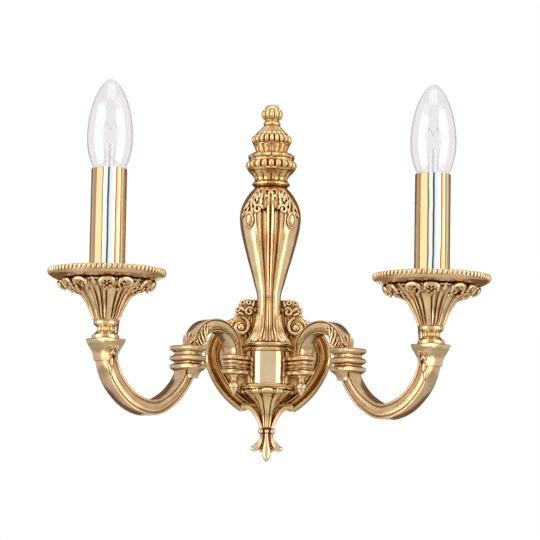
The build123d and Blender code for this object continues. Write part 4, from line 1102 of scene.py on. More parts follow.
# ---------------------------------------------------------------- column
@dataclass
class Vase:
    """Vase-shaped shaft with its front ribs, shoulder leaves and drops, flat against the plate."""

    y: float = -24.0
    back: float = -16.0
    wall: float = 2.6
    sides: int = 180
    rows: tuple[tuple[float, float], ...] = (
        (19.7, 18.6), (20.6, 18.3), (22.5, 16.6), (25.0, 14.6), (28.0, 12.9), (32.0, 11.3), (37.0, 10.3),
        (42.4, 9.7), (48.0, 9.3), (54.4, 9.1), (59.0, 9.7), (65.2, 11.6), (72.0, 13.4), (78.5, 15.2),
        (84.7, 17.1), (93.0, 19.3), (101.1, 21.4), (108.0, 22.9), (113.0, 23.6), (117.5, 23.9),
        (122.0, 23.5), (127.0, 22.2), (131.5, 20.1), (135.0, 18.0), (138.0, 15.7), (140.2, 13.6),
        (141.6, 12.4))

    def build(self) -> list[bpy.types.Object]:
        """Builds the shaft and its ornament."""
        return [self.shaft(), self.ornament()]

    def shaft(self) -> bpy.types.Object:
        """Turns the shaft, flutes it, cuts it along the plate and hollows it from behind."""
        bench = Bench("vase_shaft", 0.0, self.y)
        bench.ring(*self.rows[0], sides=self.sides)
        bench.climb(self.rows[1:])
        half = [(0, 0.985), (2, 1.045), (4, 1.07), (6, 1.06), (8, 0.985), (10, 0.90), (12, 0.895),
                (14, 0.895), (16, 0.91), (18, 1.0), (20, 1.05), (22, 1.06), (24, 1.045), (26, 1.01),
                (28, 0.99)]
        lines = half + [(-angle, share) for angle, share in half[1:]]
        bench.flute(lines, 19.9, 128.0)
        bench.flute([(angle, 1.0 + 0.45 * (share - 1.0)) for angle, share in lines], 128.1, 139.0)
        foot = [(30, 0.97), (32, 0.94), (34, 0.96), (36, 1.02), (42, 1.04), (44, 1.04), (46, 1.02),
                (50, 0.95), (52, 0.94), (54, 0.97), (64, 1.03), (66, 1.03), (70, 0.96), (72, 0.95)]
        bench.flute(foot + [(-angle, share) for angle, share in foot], 19.9, 37.5)
        bench.cut((0, self.back, 0), (0, 1, 0), False)
        wall = ("SOLIDIFY", {"thickness": self.wall * MM, "offset": -1.0})
        return bench.done(CAST_BRASS, Body.FIXTURE, ["baluster"], 30.0, [wall])

    def ornament(self) -> bpy.types.Object:
        """Sets leaves, curls, framed drops and the arches over the ribs."""
        leaflet = blob("leaflet", 1.45, 4.9, 1.25, tip=0.75, sides=10)
        fan = ((31, 131.5, 22.0, 0.95), (37, 133.0, 8.0, 0.9), (44, 131.5, -14.0, 0.9),
               (33, 126.5, 30.0, 1.0), (40, 127.5, 12.0, 1.0), (48, 126.5, -12.0, 0.95),
               (54, 124.5, -30.0, 0.85), (30, 121.0, 48.0, 0.7), (53, 119.5, -46.0, 0.7),
               (36, 121.5, 25.0, 0.8), (47, 121.0, -22.0, 0.8), (60, 119.0, -35.0, 0.7),
               (27, 134.0, 12.0, 0.8))
        parts = [stamped(leaflet,
                         [self.on(side * a, z, 0.6, side * roll,
                                  size) for side in (-1, 1) for a, z, roll, size in fan],
                         "leaves")]
        drop = blob("drop", 3.2, 4.8, 2.1, sides=16)
        parts.append(stamped(drop, [self.on(side * 43.0, 113.6, 0.5) for side in (-1, 1)], "drops"))
        frame_ring = self.drop_frame()
        parts.append(stamped(frame_ring, [self.on(side * 43.0, 113.8, 0.3) for side in (-1, 1)], "frames"))
        scroll = curl("scroll", 3.9, 1.2, 1.15, 0.9)
        parts.append(stamped(scroll,
                             [self.on(side * 23.0, 121.6, 0.9, 0.0, 1.0, side > 0) for side in (-1, 1)],
                             "scrolls"))
        hood = self.hood()
        parts.append(stamped(hood,
                             [self.on(side * a, 136.4, 0.45, 0.0,
                                      size) for side in (-1, 1) for a, size in ((8.0, 1.0), (27.0, 0.9))],
                             "hoods"))
        piece = joined(parts, "vase_ornament")
        return finished(piece, CAST_BRASS, Body.FIXTURE, crease=50.0)

    def radius(self, z: float) -> float:
        """Returns the shaft's radius at a height."""
        for (low, r0), (high, r1) in zip(self.rows, self.rows[1:]):
            if low <= z <= high:
                return r0 + (r1 - r0) * (z - low) / (high - low)
        return self.rows[-1][1]

    def lean(self, z: float) -> float:
        """Returns how far the shaft's face leans down at a height, in degrees."""
        return math.degrees(math.atan2(self.radius(z + 1.5) - self.radius(z - 1.5), 3.0))

    def on(self, angle: float, z: float, out: float, roll: float = 0.0, size: float = 1.0,
           flip: bool = False) -> Matrix:
        """Returns a place on the shaft, standing out from its face."""
        return around(0.0, self.y, self.radius(z) + out, z, angle, self.lean(z), roll, size, flip)

    def drop_frame(self) -> bpy.types.Object:
        """Bends the raised frame round a drop, open at its top."""
        bench = Bench("frame")
        bpy.ops.mesh.primitive_torus_add(major_radius=4.0 * MM, minor_radius=0.8 * MM, major_segments=28,
                                         minor_segments=8, rotation=(math.pi / 2, 0, 0))
        bpy.ops.transform.resize(value=(1.0, 1.0, 1.42))
        bench.pick(lambda place: place.z < -3.0)
        bpy.ops.transform.resize(value=(0.94, 1.5, 1), center_override=(0, 0, 0))
        free_hands()
        return bench.piece

    def hood(self) -> bpy.types.Object:
        """Bends the small arch that closes a rib at its top."""
        bench = Bench("hood")
        bpy.ops.mesh.primitive_torus_add(major_radius=2.1 * MM, minor_radius=0.6 * MM, major_segments=20,
                                         minor_segments=8, rotation=(math.pi / 2, 0, 0))
        bench.pick(lambda place: place.z < -0.2)
        bpy.ops.transform.resize(value=(1.0, 1.0, 2.4), center_override=(0, 0, 0))
        free_hands()
        return bench.piece


@dataclass
class Crown:
    """Stacked finial of fluted necks, padded and beaded rings, cone, bud and dome."""

    y: float = -24.0
    base: float = 141.6
    back: float = -16.0

    def build(self) -> list[bpy.types.Object]:
        """Builds the finial."""
        parts = [self.tier("neck_ring", 72,
                           [(0.0, 12.4), (0.7, 13.6), (1.9, 14.7), (3.0, 14.7), (4.1, 13.7), (5.0, 12.7)])]
        parts.append(self.tier("lower_flutes", 96,
                               [(5.0, 13.0), (6.2, 13.1), (7.5, 13.4), (9.0, 14.3), (10.6, 15.8),
                                (12.2, 17.3)],
                               12, 0.13, 15.0, 2.2))
        parts.append(self.tier("shoulder", 72, [(12.2, 16.6), (12.8, 17.8), (13.8, 18.6), (14.6, 18.2)]))
        parts.append(self.tier("large_beads", 160,
                               [(13.9, 17.4), (14.6, 18.9), (15.8, 19.7), (17.3, 20.0), (18.8, 19.7),
                                (20.0, 18.8), (20.7, 17.3)],
                               20, 0.15, 0.0, 2.0))
        parts.append(self.tier("plain_band", 72, [(20.2, 17.4), (20.9, 17.7), (22.0, 17.7), (22.8, 17.1)]))
        parts.append(self.tier("pads", 120,
                               [(22.4, 17.0), (22.9, 18.1), (23.8, 18.5), (24.7, 18.2), (25.9, 16.8),
                                (27.0, 15.2), (27.5, 13.4)],
                               12, 0.085, 15.0, 3.0))
        parts.append(self.tier("upper_flutes", 96,
                               [(27.0, 12.6), (28.2, 12.5), (29.6, 12.7), (31.2, 13.2), (33.0, 14.1),
                                (33.6, 14.0)],
                               12, 0.08, 15.0, 2.2))
        parts.append(self.tier("lip", 72, [(33.0, 13.6), (33.5, 14.4), (34.2, 14.7), (34.8, 14.2)]))
        parts.append(self.tier("small_beads", 176,
                               [(34.5, 13.6), (35.1, 14.9), (36.2, 15.7), (37.6, 15.95), (39.0, 15.6),
                                (40.3, 14.7), (41.2, 13.3)],
                               22, 0.15, 0.0, 2.0))
        parts.append(self.tier("petals", 128,
                               [(40.8, 12.6), (41.4, 13.2), (42.2, 12.8), (44.0, 10.9), (46.0, 8.8),
                                (47.8, 7.3), (48.9, 6.2)],
                               16, 0.07, 11.25, 2.5))
        parts.append(self.tier("upper_ring", 64,
                               [(48.6, 5.8), (49.1, 6.4), (50.2, 6.75), (51.4, 6.4), (52.0, 5.7),
                                (53.0, 5.4), (53.9, 5.7)]))
        parts.append(self.tier("bud", 96,
                               [(53.6, 5.9), (54.4, 7.0), (55.8, 8.0), (57.4, 8.4), (59.0, 8.35),
                                (60.4, 7.8), (61.5, 6.8), (62.1, 5.6)],
                               12, 0.17, 0.0, 2.0))
        parts.append(self.tier("dome", 64,
                               [(61.6, 5.7), (62.4, 5.75), (63.4, 5.35), (64.4, 4.5), (65.2, 3.3),
                                (65.7, 2.0), (65.95, 0.8)]))
        piece = joined(parts, "crown_stack")
        return [finished(piece, RICH_BRASS, Body.FIXTURE, ["crown_finial"], 34.0)]

    def tier(self, name: str, sides: int, rows: Sequence[tuple[float, float]], count: int = 0,
             dip: float = 0.0, start: float = 0.0, sharp: float = 1.0) -> bpy.types.Object:
        """Turns one tier and cuts its lobes.

        Args:
            name: name of the tier.
            sides: sides of its rings.
            rows: height above the base and radius.
            count: lobes around it.
            dip: share of the radius lost between lobes.
            start: angle of a lobe's middle.
            sharp: above 1 for narrower valleys.

        Returns:
            The tier.
        """
        bench = Bench(name, 0.0, self.y)
        bench.ring(self.base + rows[0][0], rows[0][1], sides=sides)
        bench.climb([(self.base + z, r) for z, r in rows[1:]])
        if count:
            bench.lobes(count, sides, dip, self.base + rows[0][0] + 0.2, self.base + rows[-1][0] - 0.1,
                        start, sharp)
        if max(r for z, r in rows) > self.back - self.y:
            bench.cut((0, self.back, 0), (0, 1, 0), True)
        bpy.ops.mesh.select_all(action="SELECT")
        bpy.ops.mesh.normals_make_consistent(inside=False)
        free_hands()
        return bench.piece


@dataclass
class Hub:
    """Polished drum between its cap and its fluted corbel, flat against the plate."""

    y: float = -24.0
    back: float = -16.0
    drum_radius: float = 15.6
    drum_bow: float = 25.0  # radius of the drum's flatter front
    drum_half: float = 12.6
    plan_y: float = -25.5

    def build(self) -> list[bpy.types.Object]:
        """Builds drum, cap and corbel."""
        return [self.drum(), self.cap(), self.corbel()]

    def drum(self) -> bpy.types.Object:
        """Turns the mirror-bright drum, open behind."""
        r, half = self.drum_radius, self.drum_half
        bench = Bench("drum_mirror", 0.0, self.y)
        bench.ring(-half, r - 0.3, sides=128, closed=False)
        bench.climb([(-half + 0.3, r), (-6.0, r), (0.0, r), (6.0, r), (half - 0.3, r), (half, r - 0.3)])
        bow = self.drum_bow
        shares = []
        for i in range(1, 45):
            angle = i * 360.0 / 128
            turn = math.radians(angle)
            flat = math.sqrt(bow * bow - ((bow - r) * math.sin(turn)) ** 2) - (bow - r) * math.cos(turn)
            fade = min(1.0, max(0.0, (86.0 - angle) / 40.0))
            shares += [(side * angle, 1.0 + (flat / r - 1.0) * fade) for side in (-1, 1)]
        bench.flute(shares, -half - 1.0, half + 1.0)
        bench.cut((0, self.back - 0.05, 0), (0, 1, 0), False)
        wall = ("SOLIDIFY", {"thickness": 1.6 * MM, "offset": -1.0})
        return bench.done(MIRROR_BRASS, Body.FIXTURE, ["hub_drum"], 40.0, [wall])

    def plan(self, name: str, z: float, wide: float, front: float, sides: int) -> Bench:
        """Starts a ring with a bowed front and nearly straight sides.

        Args:
            name: name of the piece.
            z: height.
            wide: half width.
            front: place of the bow's front.
            sides: sides of the ring.

        Returns:
            The bench.
        """
        bench = Bench(name, 0.0, self.plan_y)
        bench.ring(z, wide, self.plan_y - front, sides)
        bench.pick(lambda place: place.y > self.plan_y + 0.01)
        bpy.ops.transform.resize(value=(1.0, 1.9, 1.0), center_override=bench.centre())
        bpy.ops.mesh.select_all(action="SELECT")
        return bench

    def cap(self) -> bpy.types.Object:
        """Raises the two rolls and the hollow between them."""
        z = self.drum_half
        bench = self.plan("cap_rolls", z, 18.3, -41.0, 96)
        rows = [(0.35, 19.0, 15.9), (1.0, 19.4, 16.2), (1.8, 19.5, 16.3), (2.5, 19.2, 16.0),
                (3.0, 18.4, 15.4), (3.3, 18.1, 15.2), (3.7, 18.3, 15.4), (4.1, 19.3, 16.2),
                (4.8, 20.4, 16.7), (5.6, 20.8, 16.9), (6.3, 20.5, 16.7), (6.9, 19.6, 16.0),
                (7.1, 18.8, 15.4)]
        bench.climb([(z + up, wide, deep) for up, wide, deep in rows])
        bench.cut((0, self.back, 0), (0, 1, 0), True)
        return bench.done(RICH_BRASS, Body.FIXTURE, ["hub_cap"], 34.0)

    def corbel(self) -> bpy.types.Object:
        """Raises the shelf, its pads and the flutes that draw together."""
        top = -self.drum_half
        shelf = self.plan("corbel_flutes", top, 20.0, -42.0, 96)
        rows = [(-0.3, 21.0, 17.2), (-1.1, 21.4, 17.5), (-1.9, 21.2, 17.3), (-2.6, 20.5, 16.8),
                (-2.9, 19.7, 16.1), (-3.9, 19.4, 15.8)]
        shelf.climb([(top + down, wide, deep) for down, wide, deep in rows])
        shelf.cut((0, self.back, 0), (0, 1, 0), True)
        free_hands()
        sides = 140
        pads = Bench("pads", 0.0, self.back)
        pads.ring(top - 3.7, 19.2, 25.6, sides)
        pads.climb([(top - 4.2, 20.4, 27.0), (top - 5.2, 21.0, 27.6), (top - 6.3, 21.0, 27.4),
                    (top - 7.4, 20.2, 26.2), (top - 8.0, 18.9, 24.6)])
        pads.lobes(14, sides, 0.07, top - 8.2, top - 3.5, 0.0, 4.0)
        pads.cut((0, self.back, 0), (0, 1, 0), True)
        free_hands()
        flutes = Bench("flutes", 0.0, self.back)
        flutes.ring(top - 7.4, 18.4, 24.0, sides)
        flutes.climb([(top - 8.6, 17.0, 22.4), (top - 10.6, 14.0, 19.2), (top - 13.2, 11.0, 16.0),
                      (top - 16.4, 8.8, 13.4), (top - 20.0, 7.1, 11.2), (top - 24.0, 5.9, 9.4),
                      (top - 28.4, 5.1, 8.0), (-45.5, 4.5, 7.0)])
        flutes.lobes(14, sides, 0.13, -46.0, top - 8.0, 0.0, 3.0)
        flutes.cut((0, self.back, 0), (0, 1, 0), True)
        for part in (shelf, pads, flutes):
            free_hands()
            bpy.context.view_layer.objects.active = part.piece
            bpy.ops.object.mode_set(mode="EDIT")
            bpy.ops.mesh.select_all(action="SELECT")
            bpy.ops.mesh.normals_make_consistent(inside=False)
        piece = joined([shelf.piece, pads.piece, flutes.piece], "corbel_flutes")
        return finished(piece, RICH_BRASS, Body.FIXTURE, ["hub_corbel"], 30.0)


@dataclass
class Pendant:
    """Turned drop under an arm's inner collar."""

    hand: Hand
    x: float = 26.0
    y: float = -38.5
    low: float = -6.3
    rows: tuple[tuple[float, float], ...] = (
        (0.0, 4.5), (-0.6, 4.6), (-1.2, 4.3), (-1.8, 3.4), (-2.6, 2.7), (-3.6, 2.25), (-4.4, 2.1),
        (-4.9, 2.3), (-5.3, 2.9), (-5.6, 2.9), (-6.0, 2.6), (-6.6, 3.2), (-7.5, 3.9), (-8.6, 4.15),
        (-9.6, 4.0), (-10.4, 3.6), (-10.7, 3.2), (-11.1, 3.5), (-12.0, 3.3), (-13.2, 2.5), (-14.6, 1.5),
        (-15.8, 0.7), (-16.3, 0.3))

    def build(self) -> list[bpy.types.Object]:
        """Turns the drop."""
        bench = Bench("pendant_drop_" + self.hand.word, self.hand.value * self.x, self.y)
        bench.ring(self.low, self.rows[0][1], sides=48)
        bench.climb([(self.low + z, r) for z, r in self.rows[1:]])
        return [bench.done(CAST_BRASS, Body.FIXTURE, ["pendant_" + self.hand.word], 34.0)]


# ---------------------------------------------------------------- arms
@dataclass
class Arm:
    """Cast arm: bars into the drum, arch with its leaf, moulded collar, bow and block under the candle."""

    hand: Hand
    root_x: float = 26.0
    root_y: float = -38.5
    angle: float = 45.0
    reach: float = 134.4
    width: float = 12.0
    arch_rows: int = 26
    arch: tuple[tuple[float, float, float], ...] = ((1.1, 6.7, 6.8), (1.1, 9.0, 6.8))
    arch_end: tuple[float, float, float] = (44.8, 8.0, 14.0)
    bow: tuple[tuple[float, float, float], ...] = (
        (50.2, -2.9, 10.4), (53.5, -11.6, 10.2), (59.9, -21.1, 10.2), (71.4, -31.3, 10.8),
        (88.4, -38.5, 11.4), (108.8, -34.2, 11.6), (124.6, -21.9, 11.9), (132.0, -8.7, 12.2),
        (133.5, 1.9, 12.4))

    def build(self) -> list[bpy.types.Object]:
        """Builds the arm's castings and its ornament as one piece and its leaf as another."""
        parts = [self.bar("arch_bar", self.arch_path()), self.bar("bow_bar", self.bow_path())]
        parts += [self.inner_collar(), self.outer_collar(), self.top_block()]
        body = self.set_up(joined(parts, "arm_casting_" + self.hand.word))
        leaf = self.set_up(self.ornament())
        rounding = ("BEVEL",
                    {"width": 0.32 * MM, "segments": 2, "limit_method": "ANGLE",
                     "angle_limit": math.radians(32)})
        return [finished(body, PLAIN_BRASS, Body.FIXTURE, ["arm_" + self.hand.word], 36.0, [rounding]),
                finished(leaf, CAST_BRASS, Body.FIXTURE, crease=50.0)]

    def set_up(self, piece: bpy.types.Object) -> bpy.types.Object:
        """Turns a piece of the arm's own frame into its place on this side."""
        turn = Matrix.Rotation(-math.radians(self.angle), 4, "Z")
        place = Matrix.Translation((self.root_x * MM, self.root_y * MM, 0)) @ turn
        if self.hand is Hand.LEFT:
            place = Matrix.Diagonal((-1, 1, 1, 1)) @ place
        piece.data.transform(place)
        if self.hand is Hand.LEFT:
            piece.data.flip_normals()
        return piece

    def arch_path(self) -> list[tuple[float, float, float]]:
        """Returns centre points and depths over the arch."""
        foot, end = self.arch[-1], self.arch_end
        path = [self.arch[0]]
        out_foot = end[0] - 0.3
        centre, half = (foot[0] + out_foot) / 2, (out_foot - foot[0]) / 2
        for step in range(self.arch_rows + 1):
            along = step / self.arch_rows
            angle = math.pi * (1 - along)
            depth = 6.8 + 2.9 * math.sin(math.pi * along) + 5.0 * max(0.0, along - 0.5)
            path.append((centre + half * math.cos(angle), 10.2 + 19.4 * math.sin(angle), depth))
        return path + [end]

    def bow_path(self) -> list[tuple[float, float, float]]:
        """Returns centre points and depths down and round the bow, on a smooth curve through stations."""
        path = []
        last = len(self.bow) - 1
        for i in range(last):
            a, b, c, d = [self.bow[max(0, min(last, i + j))] for j in (-1, 0, 1, 2)]
            for step in range(5):
                t = step / 5
                path.append(tuple(0.5 * (2 * q + (r - p) * t + (2 * p - 5 * q + 4 * r - s) * t * t
                                         + (3 * q - p - 3 * r + s) * t ** 3)
                                  for p, q, r, s in zip(a, b, c, d)))
        return path + [self.bow[-1]]

    def bar(self, name: str, path: Sequence[tuple[float, float, float]]) -> bpy.types.Object:
        """Draws a flat bar along a path and sinks a moulded panel in each side.

        Args:
            name: name of the part.
            path: distance along the arm, height and depth of the bar.

        Returns:
            The part.
        """
        half = self.width / 2
        slim = min(depth for _, _, depth in path) / 9.0
        rings = []
        for i, (u, z, depth) in enumerate(path):
            before, after = path[max(i - 1, 0)], path[min(i + 1, len(path) - 1)]
            run = math.hypot(after[0] - before[0], after[1] - before[1])
            nu, nz = -(after[1] - before[1]) / run * depth / 2, (after[0] - before[0]) / run * depth / 2
            rings.append([(u + nu, -half, z + nz), (u + nu, half, z + nz), (u - nu, half, z - nz),
                          (u - nu, -half, z - nz)])
        bench = Bench(name)
        bench.loft(rings)
        bpy.ops.mesh.select_all(action="SELECT")
        bpy.ops.mesh.normals_make_consistent(inside=False)
        for side in (-1, 1):
            bench.pick_faces(lambda middle, normal: normal.y * side > 0.9 and abs(middle.y) > half - 0.1)
            for thick, deep in ((1.25, 0.0), (0.35, -1.1), (0.5, 0.0), (0.35, 0.75)):
                bpy.ops.mesh.inset(thickness=thick * slim * MM, depth=deep * MM, use_even_offset=True)
        bpy.ops.mesh.select_mode(type="VERT")
        free_hands()
        return bench.piece

    @staticmethod
    def block(name: str, u: float, rows: Sequence[tuple[float, float, float]]) -> bpy.types.Object:
        """Raises a rectangular moulding.

        Args:
            name: name of the part.
            u: distance of its middle along the arm.
            rows: height, half length and half width.

        Returns:
            The part.
        """
        bench = Bench(name, u, 0.0)
        bench.z = rows[0][0]
        bpy.ops.mesh.primitive_plane_add(size=2 * MM, location=bench.centre())
        bench.size(rows[0][1], rows[0][2], 1.0)
        bench.wide, bench.deep = rows[0][1], rows[0][2]
        bench.climb(rows[1:])
        bpy.ops.mesh.select_all(action="SELECT")
        bpy.ops.mesh.normals_make_consistent(inside=False)
        free_hands()
        return bench.piece

    def inner_collar(self) -> bpy.types.Object:
        """Raises the level mouldings that run back into the drum."""
        low = -6.3
        half_u, half_v, middle = 14.5, 4.8, -7.5
        steps = [(0.0, 0.3), (0.35, 0.9), (1.0, 1.2), (2.2, 1.3), (3.2, 1.1), (3.8, 0.2), (4.4, -0.4),
                 (5.2, -0.4), (5.6, 0.4), (6.3, 0.7), (7.1, 0.5), (7.7, -0.3), (8.2, -0.2), (8.7, 0.6),
                 (9.5, 0.8), (10.3, 0.6), (10.8, -0.2), (11.3, 0.2), (11.8, 1.0), (12.8, 1.3), (13.9, 1.2),
                 (14.6, 0.8), (15.0, 0.2)]
        return self.block("bars", middle, [(low + up, half_u + out, half_v + out) for up, out in steps])

    def outer_collar(self) -> bpy.types.Object:
        """Raises the flare, the square foot and the rolls of the outer collar."""
        low = -5.5
        half_u, half_v = 9.25, 10.5
        flare = [(-13.1, 5.3, 6.1), (-11.0, 5.7, 6.3), (-9.1, 6.3, 7.0), (-7.4, 7.4, 8.2), (-6.3, 8.5, 9.5),
                 (-5.7, 9.2, 10.4)]
        steps = [(0.0, 0.0), (2.4, 0.0), (2.7, -0.4), (3.4, -1.8), (3.8, -2.4), (4.9, -2.4), (5.3, -1.5),
                 (6.0, -0.5), (6.8, 0.1), (7.6, 0.2), (8.6, -0.1), (9.4, -0.8), (9.9, -1.9), (10.4, -2.3),
                 (12.2, -2.2), (12.7, -1.6), (13.6, -0.7), (14.6, 0.1), (15.7, 0.2), (16.6, -0.2),
                 (17.2, -1.0), (17.5, -2.2)]
        return self.block("collar", 49.4,
                          flare + [(low + up, half_u + out, half_v + out) for up, out in steps])

    def top_block(self) -> bpy.types.Object:
        """Raises the flared block under the candle."""
        rows = [(-6.5, 6.2, 6.1), (-3.0, 6.6, 6.5), (-0.5, 7.1, 7.0), (1.8, 7.9, 7.8), (3.6, 8.7, 8.6),
                (5.6, 9.6, 9.5), (7.6, 10.3, 10.2), (9.0, 10.55, 10.55), (9.5, 10.5, 10.5),
                (10.0, 10.0, 10.0)]
        return self.block("block", self.reach - 0.3, rows)

    def ornament(self) -> bpy.types.Object:
        """Carves the leaf on the arch's outer leg and the flower and drop under the block."""
        parts = []
        blade = blob("blade", 1.5, 5.6, 0.9, tip=0.62, sides=10)
        half = self.width / 2
        places = []
        for side in (-1, 1):
            for u, z, roll, size in ((41.8, 14.5, 38, 0.9), (40.2, 18.6, 28, 1.0), (37.8, 22.3, 14, 1.0),
                                     (35.4, 25.4, -4, 0.9), (38.4, 16.0, 22, 0.8), (36.6, 19.6, 8, 0.85),
                                     (43.6, 12.6, 60, 0.7)):
                places.append(self.side_place(u, side * (half + 0.15), z, roll, size))
        for v, out, lean, size in ((0.0, 1.0, 0, 1.15), (-3.0, 0.7, -12, 1.0), (3.0, 0.7, 12, 1.0),
                                   (-5.0, 0.4, -22, 0.85), (5.0, 0.4, 22, 0.85)):
            turn = Matrix.Rotation(math.radians(90), 4, "Z") @ Matrix.Rotation(math.radians(-20), 4, "X")
            turn = turn @ Matrix.Rotation(math.radians(lean), 4, "Y") @ Matrix.Scale(size, 4)
            places.append(Matrix.Translation(((48.6 + out) * MM, v * MM, 16.8 * MM)) @ turn)
        parts.append(stamped(blade, places, "leaf_blades"))
        roll = curl("leaf_roll", 2.1, 0.75, 1.1, 0.5)
        parts.append(stamped(roll,
                             [self.side_place(33.6, side * (half + 0.3), 27.0, 40,
                                              1.0) for side in (-1, 1)],
                             "leaf_rolls"))
        drop = blob("side_drop", 2.1, 4.3, 1.6, sides=14)
        parts.append(stamped(drop,
                             [self.side_place(133.2, side * (half + 0.1), -7.6, 2,
                                              1.0) for side in (-1, 1)],
                             "side_drops"))
        bud = curl("side_curl", 1.9, 0.8, 1.0, 0.6)
        spots = ((130.8, 3.0), (136.6, 3.0))
        parts.append(stamped(bud,
                             [self.side_place(u, side * (half + 2.1), z, 0,
                                              1.0) for side in (-1, 1) for u, z in spots],
                             "side_curls"))
        bell = blob("side_bell", 1.15, 2.6, 1.1, tip=0.6, sides=8)
        spread = ((132.2, -0.6, 22), (135.0, -0.6, -22), (133.6, 0.4, 0))
        parts.append(stamped(bell,
                             [self.side_place(u, side * (half + 0.9), z, roll_by,
                                              1.0) for side in (-1, 1) for u, z, roll_by in spread],
                             "side_bells"))
        return joined(parts, "arm_leaf_" + self.hand.word)

    @staticmethod
    def side_place(u: float, v: float, z: float, roll: float, size: float) -> Matrix:
        """Returns a place on a side face of the arm, rolled in that face."""
        back = Matrix.Rotation(math.pi, 4, "Z") if v > 0 else Matrix.Identity(4)
        turn = Matrix.Rotation(math.radians(roll if v < 0 else -roll), 4, "Y")
        return Matrix.Translation((u * MM, v * MM, z * MM)) @ back @ turn @ Matrix.Scale(size, 4)


